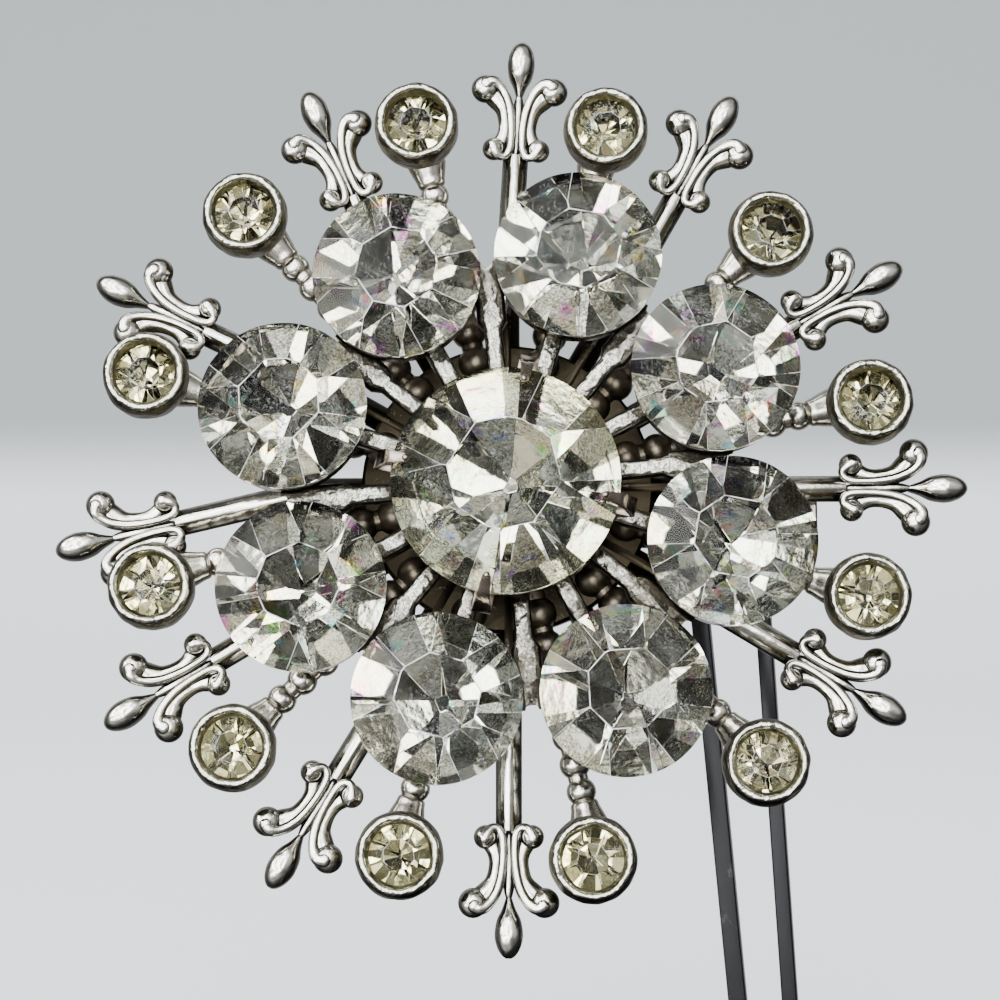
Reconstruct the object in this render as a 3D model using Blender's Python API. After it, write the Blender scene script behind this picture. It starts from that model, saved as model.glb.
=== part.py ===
"""Snowflake brooch with cut crystals, hung on a plain stand with two prongs.

Lengths are in metres and angles in degrees. The brooch is drawn lying on its back around the hub:
its X runs right, its Y runs up the face, and its Z comes out of the face. An empty at the hub then
stands it up, leaning back. World +Z is up and the face looks along world -Y. The world origin is
the middle of the underside of the stand's base.
"""

import math

import bmesh
import bpy
from mathutils import Matrix, Vector

# Clearances
SEAT_GAP = 0.0003
WELD_DISTANCE = 0.000001
FLAT_DEG = 0.4

# How the brooch stands
LEAN_DEG = 10.0
HUB_HEIGHT = 0.050

# Lower casting: hub and ridged arms
HUB_RADIUS = 0.0107
HUB_THICKNESS = 0.0012
HUB_SIDES = 24
BASE_RISE = 0.00035
ARM_START = 0.0080
ARM_REACH = 0.0339
ARM_TURN_DEG = 0.3
ARM_BEND_RADIUS = 0.014
ARM_WIDTH = 0.0019
ARM_RIDGE_WIDTH = 0.0007
ARM_HEIGHT = 0.00125
ARM_SHOULDER_HEIGHT = 0.0005
BROKEN_ARM_REACH = 0.0213
# Fused shapes have their backs at slightly different heights, so that no two faces lie together
BACK_STEP = 0.00004

# Each arm in turn, anticlockwise from the right: how far its outer part is bent sideways, its
# reach as a share of ARM_REACH, and whether it still has its fleur
ARMS = (
    # sway_deg, reach_share, has_fleur
    (-0.1, 0.995, True),
    (-0.3, 1.0, True),
    (0.1, 1.02, True),
    (-2.2, 1.015, True),
    (-3.8, 1.005, True),
    (2.4, 1.015, True),
    (7.7, 0.99, True),
    (0.5, 1.0, True),
    (-0.9, 0.99, True),
    (-0.2, 1.0, True),
    (0.0, 1.0, False),
    (-0.9, 0.985, True),
)

# Fleur-de-lis at the end of an arm
FLEUR_LENGTH = 0.0095
FLEUR_HALF_WIDTH = 0.00365
FLEUR_RELIEF = 0.0017
OUTER_BALL_RADIUS = 0.00112
OUTER_BALL_HEIGHT = 0.0017
INNER_BALL_RADIUS = 0.00087
INNER_BALL_HEIGHT = 0.0016
BALL_EDGE_SHARE = 0.55
SCROLL_HALF_WIDTH = 0.00075
SCROLL_HEIGHT = 0.0012
BUD_HALF_WIDTH = 0.00105
CORE_HALF_WIDTH = 0.0005
CORE_HEIGHT = 0.0009

# Centres of a scroll's two balls, as distance back from the fleur's tip in shares of FLEUR_LENGTH
# and distance to the side in shares of FLEUR_HALF_WIDTH
OUTER_BALL_AT = (0.41, 0.685)
INNER_BALL_AT = (0.905, 0.452)

# The band between the two balls: back and side shares as above, and half width as a share of
# SCROLL_HALF_WIDTH
SCROLL_BAND = (
    (0.485, 0.41, 1.25),
    (0.57, 0.255, 1.0),
    (0.685, 0.197, 0.85),
    (0.78, 0.22, 0.88),
)

# Ball sections along a scroll's end: place and half width, as shares of the ball's radius
BALL_SECTIONS = ((0.86, 0.52), (0.38, 0.95), (-0.32, 0.97))

# Bud sections: distance back from the tip as a share of FLEUR_LENGTH, half width as a share of
# BUD_HALF_WIDTH, height as a share of FLEUR_RELIEF
BUD_SECTIONS = (
    (0.0, 0.12, 0.35),
    (0.07, 0.62, 0.75),
    (0.195, 1.0, 1.0),
    (0.30, 0.86, 0.92),
    (0.40, 0.50, 0.70),
    (0.52, 0.25, 0.45),
)

# Beaded stems with their bezel cups
STEM_TURN_DEG = 13.6
BEZEL_REACH = 0.02725
BEAD_COUNT = 7
INNER_BEAD_DIAMETER = 0.00245
OUTER_BEAD_DIAMETER = 0.00215
BEAD_PITCH_SHARE = 0.90
BEAD_NECK_SHARE = 0.74
BEAD_SHOULDER_SHARE = 0.97
BEAD_SHOULDERS_AT = (0.26, 0.74)
COLLAR_LENGTH = 0.0008
COLLAR_SHARE = 0.9
STEM_AXIS_HEIGHT = 0.0009
STEM_SECTION_POINTS = 6
STEM_CUT_SHARE = 0.9

# Each stem in turn, anticlockwise from the right: how far its beads and its bezel are off their
# even places round the hub, and its reach as a share of BEZEL_REACH
STEMS = (
    # beads_deg, bezel_deg, reach_share
    (0.6, -0.8, 0.99),
    (0.9, 0.3, 0.985),
    (1.2, 1.1, 1.01),
    (0.2, 0.5, 1.018),
    (-0.1, 0.4, 1.022),
    (-1.0, -0.4, 1.01),
    (0.9, 2.9, 0.98),
    (-0.1, 0.8, 1.005),
    (-0.5, 0.4, 1.02),
    (-0.2, -1.1, 1.015),
    (-1.1, -1.4, 1.0),
    (-0.7, -1.4, 0.995),
)

BEZEL_BOTTOM = 0.0003
BEZEL_TOP = 0.0047
BEZEL_RADIUS = 0.00313
BEZEL_BELLY_HEIGHT = 0.0028
BEZEL_SHOULDER_RADIUS = 0.00304
BEZEL_SHOULDER_HEIGHT = 0.0042
BEZEL_FOOT_RADIUS = 0.0024
BEZEL_CREST_RADIUS = 0.00267
BEZEL_LIP_RADIUS = 0.00212
BEZEL_LIP_DROP = 0.0004
BEZEL_LIP_THICKNESS = 0.00035
BEZEL_SIDES = 12

# Cut stones, all of one pattern: table, crown, girdle, pavilion and small culet
TABLE_SHARE = 0.5
CULET_SHARE = 0.125
CROWN_DEG = 31.0
PAVILION_DEG = 42.0
CORNER_DEG = 8.5
GIRDLE_HEIGHT = 0.00035
RHINESTONE_RADIUS = 0.0023
RHINESTONE_GIRDLE = 0.00355
CRYSTAL_RADIUS = 0.0060
CRYSTAL_GIRDLE = 0.0082
CENTRE_RADIUS = 0.0081
CENTRE_GIRDLE = 0.0086
CENTRE_SHIFT_X = -0.00018
CENTRE_SHIFT_Y = -0.00040
CENTRE_TABLE_DEG = 34.6
STONE_FACETS = 8

# Upper tier
SEAT_RING = 0.01668
SEAT_TURN_DEG = 28.0
# Each crystal seat in turn, anticlockwise from the upper right: sideways shift, distance from the
# middle as a share of SEAT_RING, and how far a corner of the crystal's table is turned from +X
SEATS = (
    # sway_deg, ring_share, table_deg
    (-0.1, 1.0, 32.0),
    (-0.3, 1.01, 12.0),
    (0.7, 0.995, 11.0),
    (-0.5, 1.005, 25.0),
    (0.6, 0.99, 0.0),
    (-0.5, 0.99, 8.0),
    (0.3, 1.035, 25.0),
    (0.6, 0.985, 12.0),
)
CUP_RADIUS = 0.00575
CUP_WALL = 0.00045
CUP_SIDES = 12
CUP_SKIRT_BOTTOM = 0.0052
CUP_FLOOR_RADIUS = 0.0015
CUP_FLOOR_THICKNESS = 0.0005
PLATE_BOTTOM = 0.0049
PLATE_THICKNESS = 0.0010
BAR_BEVEL = 0.00028
LEAD_BAR_WIDTH = 0.0014
WEDGE_BAR_WIDTH = 0.0013
WEDGE_SHOULDER_WIDTH = 0.00215
WEDGE_SHOULDER_BACK = 0.0035
WEDGE_SHOULDER_RUN = 0.0007
WEDGE_TAIL = 0.0009
RING_WIDTH = 0.0009

# Centre setting
CENTRE_WALL = 0.00045
CENTRE_CUP_SIDES = 18
CENTRE_RIM_DROP = 0.0013
CLAW_COUNT = 4
CLAW_TURN_DEG = 79.3
CLAW_THICKNESS = 0.00035
CLAW_WIDTH = 0.0014
CLAW_TIP_WIDTH = 0.0006
CLAW_FLARE = 0.0011
CLAW_OVER_STONE = 0.0010
CLAW_TIP_BALL = 0.0003

# Pin at the back
PIN_RISE = -0.0018
PIN_LEFT = -0.0165
PIN_RIGHT = 0.0228
PIN_PLATE_WIDTH = 0.0040
PIN_PLATE_THICKNESS = 0.0008
PIN_OPEN_GAP = 0.0052
PIN_STEM_RADIUS = 0.0006
PIN_STEM_SIDES = 8
PIN_POST_LENGTH = 0.0022
PIN_POST_WIDTH = 0.0026

# Stand
STAND_RIGHT_OF_HUB = 0.0206
BASE_RADIUS = 0.032
BASE_THICKNESS = 0.004
BASE_BEVEL = 0.0006
BASE_SIDES = 36
SOCKET_DEPTH = 0.0025
PRONG_DEPTH = 0.0011
PRONG_TWIST_DEG = 12.0
HOOK_LIP = 0.0013
# Each prong: node name, foot to the side of the base's middle, lean to the left going up, width
PRONGS = (
    # name, foot_x, lean_deg, width
    ("prong_left", -0.00184, 5.55, 0.0014),
    ("prong_right", 0.00184, 3.97, 0.0012),
)

# Colours: red, green, blue, metallic, roughness
SILVER = (0.76, 0.75, 0.72, 1.0, 0.22)
AGED_SILVER = (0.55, 0.53, 0.49, 1.0, 0.34)
CLEAR_GLASS = (0.90, 0.92, 0.93, 0.0, 0.04)
YELLOWED_GLASS = (0.86, 0.81, 0.64, 0.0, 0.08)
DARK_STEEL = (0.05, 0.05, 0.055, 1.0, 0.45)


def material(name, finish):
    """A metal or glass surface from its colour, metallic and roughness values."""
    red, green, blue, metallic, roughness = finish
    made = bpy.data.materials.new(name)
    made.use_nodes = True
    shader = made.node_tree.nodes["Principled BSDF"]
    shader.inputs["Base Color"].default_value = (red, green, blue, 1.0)
    shader.inputs["Metallic"].default_value = metallic
    shader.inputs["Roughness"].default_value = roughness
    return made


def turned(angle_deg, radius=0.0, height=0.0):
    """Place a shape drawn along +X on a spoke of the brooch."""
    spin = Matrix.Rotation(math.radians(angle_deg), 4, "Z")
    return spin @ Matrix.Translation((radius, 0.0, height))


def loft(rings):
    """A closed shape through rings of equal point count, with a flat face at each end."""
    bm = bmesh.new()
    loops = [[bm.verts.new(point) for point in ring] for ring in rings]
    count = len(loops[0])
    for near, far in zip(loops, loops[1:]):
        for i in range(count):
            j = (i + 1) % count
            bm.faces.new((near[i], near[j], far[j], far[i]))
    bm.faces.new(reversed(loops[0]))
    bm.faces.new(loops[-1])
    bmesh.ops.recalc_face_normals(bm, faces=bm.faces)
    return bm


def circle(radius, height, sides):
    """Points of a level circle."""
    points = []
    for i in range(sides):
        angle = 2.0 * math.pi * i / sides
        points.append(Vector((radius * math.cos(angle), radius * math.sin(angle), height)))
    return points


def turn_profile(profile, sides):
    """A turned solid from a profile of radius and height pairs."""
    return loft([circle(radius, height, sides) for radius, height in profile])


def turn_ring(inner, outer, bottom, top, sides):
    """A flat ring."""
    bm = bmesh.new()
    corners = ((inner, bottom), (outer, bottom), (outer, top), (inner, top))
    loops = [[bm.verts.new(p) for p in circle(radius, height, sides)] for radius, height in corners]
    for k, near in enumerate(loops):
        far = loops[(k + 1) % len(loops)]
        for i in range(sides):
            j = (i + 1) % sides
            bm.faces.new((near[i], near[j], far[j], far[i]))
    bmesh.ops.recalc_face_normals(bm, faces=bm.faces)
    return bm


def block(low, high):
    """A rectangular block between two corners."""
    rings = []
    for z in (low[2], high[2]):
        corners = ((low[0], low[1]), (high[0], low[1]), (high[0], high[1]), (low[0], high[1]))
        rings.append([Vector((x, y, z)) for x, y in corners])
    return loft(rings)


def moved(bm, matrix):
    """The same shape, moved by a matrix."""
    bmesh.ops.transform(bm, matrix=matrix, verts=bm.verts)
    return bm


def mesh_from(name, shapes):
    """One mesh that holds every shape in a list."""
    mesh = bpy.data.meshes.new(name)
    joined = bmesh.new()
    for shape in shapes:
        piece = bpy.data.meshes.new("piece")
        shape.to_mesh(piece)
        shape.free()
        joined.from_mesh(piece)
        bpy.data.meshes.remove(piece)
    joined.to_mesh(mesh)
    joined.free()
    return mesh


def combined(name, shapes, others, operation):
    """The solid left by a Boolean between two groups of closed shapes."""
    body = bpy.data.objects.new(name, mesh_from(name, shapes))
    tool = bpy.data.objects.new(name + "_tool", mesh_from(name + "_tool", others))
    for item in (body, tool):
        bpy.context.collection.objects.link(item)
    cut = body.modifiers.new("combine", "BOOLEAN")
    cut.operation = operation
    cut.solver = "EXACT"
    cut.use_self = True
    cut.object = tool
    graph = bpy.context.evaluated_depsgraph_get()
    result = bpy.data.meshes.new_from_object(body.evaluated_get(graph))
    for item in (body, tool):
        spare = item.data
        bpy.data.objects.remove(item)
        bpy.data.meshes.remove(spare)
    result.name = name
    bm = bmesh.new()
    bm.from_mesh(result)
    bmesh.ops.remove_doubles(bm, verts=bm.verts, dist=WELD_DISTANCE)
    bmesh.ops.dissolve_degenerate(bm, edges=bm.edges, dist=WELD_DISTANCE)
    bmesh.ops.dissolve_limit(bm, angle_limit=math.radians(FLAT_DEG), verts=bm.verts, edges=bm.edges)
    bm.to_mesh(result)
    bm.free()
    return result


def fused(name, shapes):
    """Soldered or cast shapes as one solid."""
    return combined(name, shapes[:1], shapes[1:], "UNION")


def place(name, mesh, finish, parent, matrix=None):
    """Put a finished piece in the scene under its parent."""
    piece = bpy.data.objects.new(name, mesh)
    bpy.context.collection.objects.link(piece)
    piece.parent = parent
    if matrix is not None:
        piece.matrix_local = matrix
    if not mesh.materials:
        mesh.materials.append(finish)
    return piece


def relief_section(centre, along, half_width, height, back):
    """A flat-backed section of cast relief across a path, with sloped shoulders."""
    side = Vector((-along[1], along[0], 0.0)).normalized()
    shape = ((-1.0, 0.0), (-1.0, 0.42), (-0.48, 1.0), (0.48, 1.0), (1.0, 0.42), (1.0, 0.0))
    points = []
    for across, up in shape:
        foot = Vector((centre[0], centre[1], back + up * (height - back)))
        points.append(foot + side * (across * half_width))
    return points


def ball_height(full_height, width_share):
    """Height of a ball where it has a share of its full width."""
    return full_height * (BALL_EDGE_SHARE + (1.0 - BALL_EDGE_SHARE) * width_share)


def scroll(side, back):
    """One scroll of a fleur, from its outer ball through the waist to its inner ball."""
    def at(share):
        return Vector((-share[0] * FLEUR_LENGTH, side * share[1] * FLEUR_HALF_WIDTH))

    outer = at(OUTER_BALL_AT)
    band = [at(row) for row in SCROLL_BAND]
    inner = at(INNER_BALL_AT)
    outward = (outer - band[0]).normalized()
    inward = (inner - band[-1]).normalized()
    rings = []
    for place_share, width_share in BALL_SECTIONS:
        point = outer + outward * place_share * OUTER_BALL_RADIUS
        height = ball_height(OUTER_BALL_HEIGHT, width_share)
        rings.append(relief_section(point, -outward, width_share * OUTER_BALL_RADIUS, height, back))
    for i, point in enumerate(band):
        before = band[i - 1] if i else outer
        after = band[i + 1] if i + 1 < len(band) else inner
        half_width = SCROLL_HALF_WIDTH * SCROLL_BAND[i][2]
        rings.append(relief_section(point, after - before, half_width, SCROLL_HEIGHT, back))
    for place_share, width_share in reversed(BALL_SECTIONS):
        point = inner + inward * place_share * INNER_BALL_RADIUS
        height = ball_height(INNER_BALL_HEIGHT, width_share)
        rings.append(relief_section(point, inward, width_share * INNER_BALL_RADIUS, height, back))
    return loft(rings)


def fleur():
    """A fleur-de-lis along +X with its tip at the origin, as overlapping shapes."""
    along = Vector((-1.0, 0.0))
    bud = []
    for back_share, width_share, height_share in BUD_SECTIONS:
        bud.append(relief_section((-back_share * FLEUR_LENGTH, 0.0), along,
                                  width_share * BUD_HALF_WIDTH, height_share * FLEUR_RELIEF,
                                  4.0 * BACK_STEP))
    core_end = BUD_SECTIONS[-1][0] * FLEUR_LENGTH - BUD_HALF_WIDTH
    core = [relief_section((x, 0.0), along, CORE_HALF_WIDTH, CORE_HEIGHT, 2.0 * BACK_STEP)
            for x in (-core_end, -FLEUR_LENGTH)]
    shapes = [loft(bud), loft(core)]
    shapes += [scroll(side, 3.0 * BACK_STEP) for side in (1.0, -1.0)]
    return shapes


def ridge_section(x, back):
    """Section of an arm: upright edges, sloped sides and a narrow flat ridge."""
    half = ARM_WIDTH / 2.0
    ridge = ARM_RIDGE_WIDTH / 2.0
    shape = ((-half, back), (-half, ARM_SHOULDER_HEIGHT), (-ridge, ARM_HEIGHT),
             (ridge, ARM_HEIGHT), (half, ARM_SHOULDER_HEIGHT), (half, back))
    return [Vector((x, y, z)) for y, z in shape]


def arm(index):
    """An arm with its fleur, bent sideways at ARM_BEND_RADIUS."""
    sway_deg, reach_share, has_fleur = ARMS[index]
    angle = ARM_TURN_DEG + 360.0 * index / len(ARMS)
    spin = turned(angle)
    if not has_fleur:
        stub = loft([ridge_section(x, BACK_STEP) for x in (ARM_START, BROKEN_ARM_REACH)])
        return [moved(stub, spin)]
    reach = ARM_REACH * reach_share
    sway = math.radians(sway_deg)
    bend = math.atan2(reach * math.sin(sway), reach * math.cos(sway) - ARM_BEND_RADIUS)
    at_bend = Matrix.Translation((ARM_BEND_RADIUS, 0.0, 0.0))
    outer_place = spin @ at_bend @ Matrix.Rotation(bend, 4, "Z")
    outer_length = reach - ARM_BEND_RADIUS
    half_bend = Matrix.Translation((ARM_BEND_RADIUS, 0.0, 0.0)) @ Matrix.Rotation(bend / 2.0, 4, "Z")
    start = ridge_section(ARM_START, BACK_STEP)
    middle = [half_bend @ point for point in ridge_section(0.0, BACK_STEP)]
    to_end = at_bend @ Matrix.Rotation(bend, 4, "Z")
    end_at = outer_length - INNER_BALL_AT[0] * FLEUR_LENGTH
    end = [to_end @ point for point in ridge_section(end_at, BACK_STEP)]
    spoke = moved(loft([start, middle, end]), spin)
    tip_place = outer_place @ Matrix.Translation((outer_length, 0.0, 0.0))
    return [spoke] + [moved(shape, tip_place) for shape in fleur()]


def round_section(x, radius, back):
    """A round section cut flat at the back of the casting, by STEM_CUT_SHARE of its radius at most."""
    drop = min(STEM_CUT_SHARE, max(0.0, (STEM_AXIS_HEIGHT - back) / radius))
    low = math.asin(drop)
    points = []
    for i in range(STEM_SECTION_POINTS):
        angle = -low + (math.pi + 2.0 * low) * i / (STEM_SECTION_POINTS - 1)
        y = radius * math.cos(angle)
        z = STEM_AXIS_HEIGHT + radius * math.sin(angle)
        points.append(Vector((x, y, z)))
    return points


def bezel_place(index, height):
    """Place of a bezel cup, or of the stone in it, on its spoke."""
    _, bezel_deg, reach_share = STEMS[index]
    angle = STEM_TURN_DEG + bezel_deg + 360.0 * index / len(STEMS)
    return turned(angle, BEZEL_REACH * reach_share, height)


def stem(index):
    """A stem of graduated beads that ends in a bezel cup."""
    beads_deg, _, reach_share = STEMS[index]
    reach = BEZEL_REACH * reach_share
    back = 2.0 * BACK_STEP
    x = reach - BEZEL_RADIUS - COLLAR_LENGTH
    collar = OUTER_BEAD_DIAMETER / 2.0 * COLLAR_SHARE
    rings = [
        round_section(x + COLLAR_LENGTH + BEZEL_RADIUS / 3.0, collar, back),
        round_section(x + COLLAR_LENGTH / 3.0, collar, back),
        round_section(x, OUTER_BEAD_DIAMETER / 2.0 * BEAD_NECK_SHARE, back),
    ]
    for bead in range(BEAD_COUNT):
        grow = bead / (BEAD_COUNT - 1)
        radius = (OUTER_BEAD_DIAMETER + (INNER_BEAD_DIAMETER - OUTER_BEAD_DIAMETER) * grow) / 2.0
        pitch = 2.0 * radius * BEAD_PITCH_SHARE
        for shoulder_at in BEAD_SHOULDERS_AT:
            rings.append(round_section(x - shoulder_at * pitch, radius * BEAD_SHOULDER_SHARE, back))
        rings.append(round_section(x - pitch, radius * BEAD_NECK_SHARE, back))
        x -= pitch
    rings.append(round_section(ARM_START, INNER_BEAD_DIAMETER / 2.0 * BEAD_NECK_SHARE, back))
    lip = BEZEL_TOP - BEZEL_LIP_DROP
    cup = turn_profile((
        (BEZEL_FOOT_RADIUS, BEZEL_BOTTOM),
        (BEZEL_RADIUS, BEZEL_BELLY_HEIGHT),
        (BEZEL_SHOULDER_RADIUS, BEZEL_SHOULDER_HEIGHT),
        (BEZEL_CREST_RADIUS, BEZEL_TOP),
        (BEZEL_LIP_RADIUS, lip),
        (RHINESTONE_RADIUS + SEAT_GAP, lip - BEZEL_LIP_THICKNESS),
        (RHINESTONE_RADIUS + SEAT_GAP, bezel_floor()),
    ), BEZEL_SIDES)
    angle = STEM_TURN_DEG + beads_deg + 360.0 * index / len(STEMS)
    return [moved(loft(rings), turned(angle)), moved(cup, bezel_place(index, 0.0))]


def pavilion_depth(radius):
    """Height of a stone's pavilion, from the girdle's lower edge to the culet."""
    return radius * (1.0 - CULET_SHARE) * math.tan(math.radians(PAVILION_DEG))


def crown_height(radius):
    """Height of a stone's crown, from the girdle's upper edge to the table."""
    return radius * (1.0 - TABLE_SHARE) * math.tan(math.radians(CROWN_DEG))


def culet_height(radius, girdle):
    """Height of a stone's culet above the back of the casting."""
    return girdle - GIRDLE_HEIGHT / 2.0 - pavilion_depth(radius)


def bezel_floor():
    """Height of the floor inside a bezel cup, just under the stone's culet."""
    return culet_height(RHINESTONE_RADIUS, RHINESTONE_GIRDLE) - SEAT_GAP


def cut_stone(radius, corner_deg):
    """A round cut stone with an octagonal table; its girdle's middle is at height 0."""
    half = GIRDLE_HEIGHT / 2.0
    step = 360.0 / STONE_FACETS
    girdle_deg = []
    for k in range(STONE_FACETS):
        girdle_deg += [k * step + corner_deg, (k + 1) * step - corner_deg]
    table_z = half + crown_height(radius)
    culet_z = -half - pavilion_depth(radius)
    bm = bmesh.new()

    def ring(ring_radius, height, angles):
        points = [(ring_radius * math.cos(math.radians(a)), ring_radius * math.sin(math.radians(a)),
                   height) for a in angles]
        return [bm.verts.new(point) for point in points]

    corners = [k * step for k in range(STONE_FACETS)]
    table = ring(radius * TABLE_SHARE, table_z, corners)
    culet = ring(radius * CULET_SHARE, culet_z, corners)
    upper = ring(radius, half, girdle_deg)
    lower = ring(radius, -half, girdle_deg)
    count = len(girdle_deg)
    bm.faces.new(table)
    bm.faces.new(reversed(culet))
    for i in range(count):
        bm.faces.new((upper[i], upper[(i + 1) % count], lower[(i + 1) % count], lower[i]))
    for k in range(STONE_FACETS):
        nxt = (k + 1) % STONE_FACETS
        first, second, third = 2 * k, 2 * k + 1, (2 * k + 2) % count
        for inner, rim in ((table, upper), (culet, lower)):
            bm.faces.new((inner[k], rim[first], rim[second], inner[nxt]))
            bm.faces.new((inner[nxt], rim[second], rim[third]))
    bmesh.ops.recalc_face_normals(bm, faces=bm.faces)
    return bm


def round_stone(radius):
    """A small cut stone: octagonal table, eight crown facets and eight pavilion facets."""
    half = GIRDLE_HEIGHT / 2.0
    rings = [circle(radius * CULET_SHARE, -half - pavilion_depth(radius), STONE_FACETS),
             circle(radius, -half, STONE_FACETS),
             circle(radius, half, STONE_FACETS),
             circle(radius * TABLE_SHARE, half + crown_height(radius), STONE_FACETS)]
    return loft(rings)


def pavilion_z(radius, girdle, at_radius):
    """Height of a stone's pavilion surface at a distance from its axis."""
    share = (at_radius / radius - CULET_SHARE) / (1.0 - CULET_SHARE)
    return culet_height(radius, girdle) + share * pavilion_depth(radius)


def pavilion_radius(radius, girdle, height):
    """Distance of a stone's pavilion surface from its axis at a height."""
    share = (height - culet_height(radius, girdle)) / pavilion_depth(radius)
    return radius * (CULET_SHARE + share * (1.0 - CULET_SHARE))


def seat_drop():
    """How far under a pavilion its seat lies, so that the two keep SEAT_GAP between them."""
    return SEAT_GAP / math.cos(math.radians(PAVILION_DEG))


def seat_centre(index):
    """Place of a crystal seat in the brooch's plane."""
    sway_deg, ring_share, _ = SEATS[index]
    angle = math.radians(SEAT_TURN_DEG + sway_deg + 360.0 * index / len(SEATS))
    radius = SEAT_RING * ring_share
    return Vector((radius * math.cos(angle), radius * math.sin(angle), 0.0))


def crystal_cup():
    """The cup under one big crystal, open at the top."""
    inner = CUP_RADIUS - CUP_WALL
    rim_outer = pavilion_z(CRYSTAL_RADIUS, CRYSTAL_GIRDLE, CUP_RADIUS) - seat_drop()
    rim_inner = pavilion_z(CRYSTAL_RADIUS, CRYSTAL_GIRDLE, inner) - seat_drop()
    floor = culet_height(CRYSTAL_RADIUS, CRYSTAL_GIRDLE) - SEAT_GAP
    return turn_profile((
        (CUP_FLOOR_RADIUS, floor - CUP_FLOOR_THICKNESS),
        (CUP_RADIUS, CUP_SKIRT_BOTTOM),
        (CUP_RADIUS, rim_outer),
        (inner, rim_inner),
        (CUP_FLOOR_RADIUS - CUP_WALL / 2.0, floor),
    ), CUP_SIDES)


def flat_bar(stations):
    """A flat bar along +X with bevelled upper edges, from distance and half-width pairs."""
    top = PLATE_BOTTOM + PLATE_THICKNESS
    levels = ((PLATE_BOTTOM, 0.0), (top - BAR_BEVEL, 0.0), (top, BAR_BEVEL))
    rings = []
    for height, inset in levels:
        right = [Vector((x, -(half - inset), height)) for x, half in stations]
        left = [Vector((x, half - inset, height)) for x, half in reversed(stations)]
        rings.append(right + left)
    return loft(rings)


def ring_inner():
    """Inner radius of the upper tier's hub ring, clear of the centre cup all round."""
    top = PLATE_BOTTOM + PLATE_THICKNESS
    return centre_cup_radius(top) + SEAT_GAP + math.hypot(CENTRE_SHIFT_X, CENTRE_SHIFT_Y)


def centre_cup_radius(height):
    """Outer radius of the centre cup's cone at a height."""
    cone = pavilion_radius(CENTRE_RADIUS, CENTRE_GIRDLE, height + seat_drop())
    return cone + CENTRE_WALL / math.sin(math.radians(PAVILION_DEG))


def lead_bar(index):
    """A bar from the hub ring to a crystal's cup."""
    centre = seat_centre(index)
    start = ring_inner() + RING_WIDTH / 3.0
    end = centre.length - CUP_RADIUS + CUP_WALL / 2.0
    half = LEAD_BAR_WIDTH / 2.0
    angle = math.degrees(math.atan2(centre.y, centre.x))
    return moved(flat_bar(((start, half), (end, half))), turned(angle))


def wedge_bar(index):
    """A bar between two cups: it widens to shoulders, then tapers to fill the gap between them."""
    one = seat_centre(index)
    two = seat_centre((index + 1) % len(SEATS))
    middle = (one + two) / 2.0
    reach = middle.length
    half_gap = (one - two).length / 2.0 - CUP_RADIUS
    start = ring_inner() + RING_WIDTH / 3.0
    shoulder = reach - WEDGE_SHOULDER_BACK
    half = WEDGE_BAR_WIDTH / 2.0
    grip = half_gap + CUP_WALL / 2.0
    shoulder_half = WEDGE_SHOULDER_WIDTH / 2.0
    stations = (
        (start, half),
        (shoulder - WEDGE_SHOULDER_RUN, half),
        (shoulder, shoulder_half),
        ((shoulder + reach) / 2.0, (shoulder_half + grip) / 2.0),
        (reach, grip),
        (reach + WEDGE_TAIL, grip),
    )
    angle = math.degrees(math.atan2(middle.y, middle.x))
    return moved(flat_bar(stations), turned(angle))


def upper_star():
    """Hub ring, bars and crystal cups as one soldered solid."""
    inner = ring_inner()
    top = PLATE_BOTTOM + PLATE_THICKNESS
    shapes = [turn_ring(inner, inner + RING_WIDTH, PLATE_BOTTOM, top, HUB_SIDES)]
    for index in range(len(SEATS)):
        shapes.append(moved(crystal_cup(), Matrix.Translation(seat_centre(index))))
        shapes.append(lead_bar(index))
        shapes.append(wedge_bar(index))
    return fused("upper_star", shapes)


def base_star():
    """Hub, arms, stems and bezel cups as one casting."""
    hub = loft([circle(HUB_RADIUS, height, HUB_SIDES) for height in (0.0, HUB_THICKNESS)])
    shapes = [hub]
    for index in range(len(ARMS)):
        shapes += arm(index)
    for index in range(len(STEMS)):
        shapes += stem(index)
    return fused("base_star", shapes)


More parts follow.
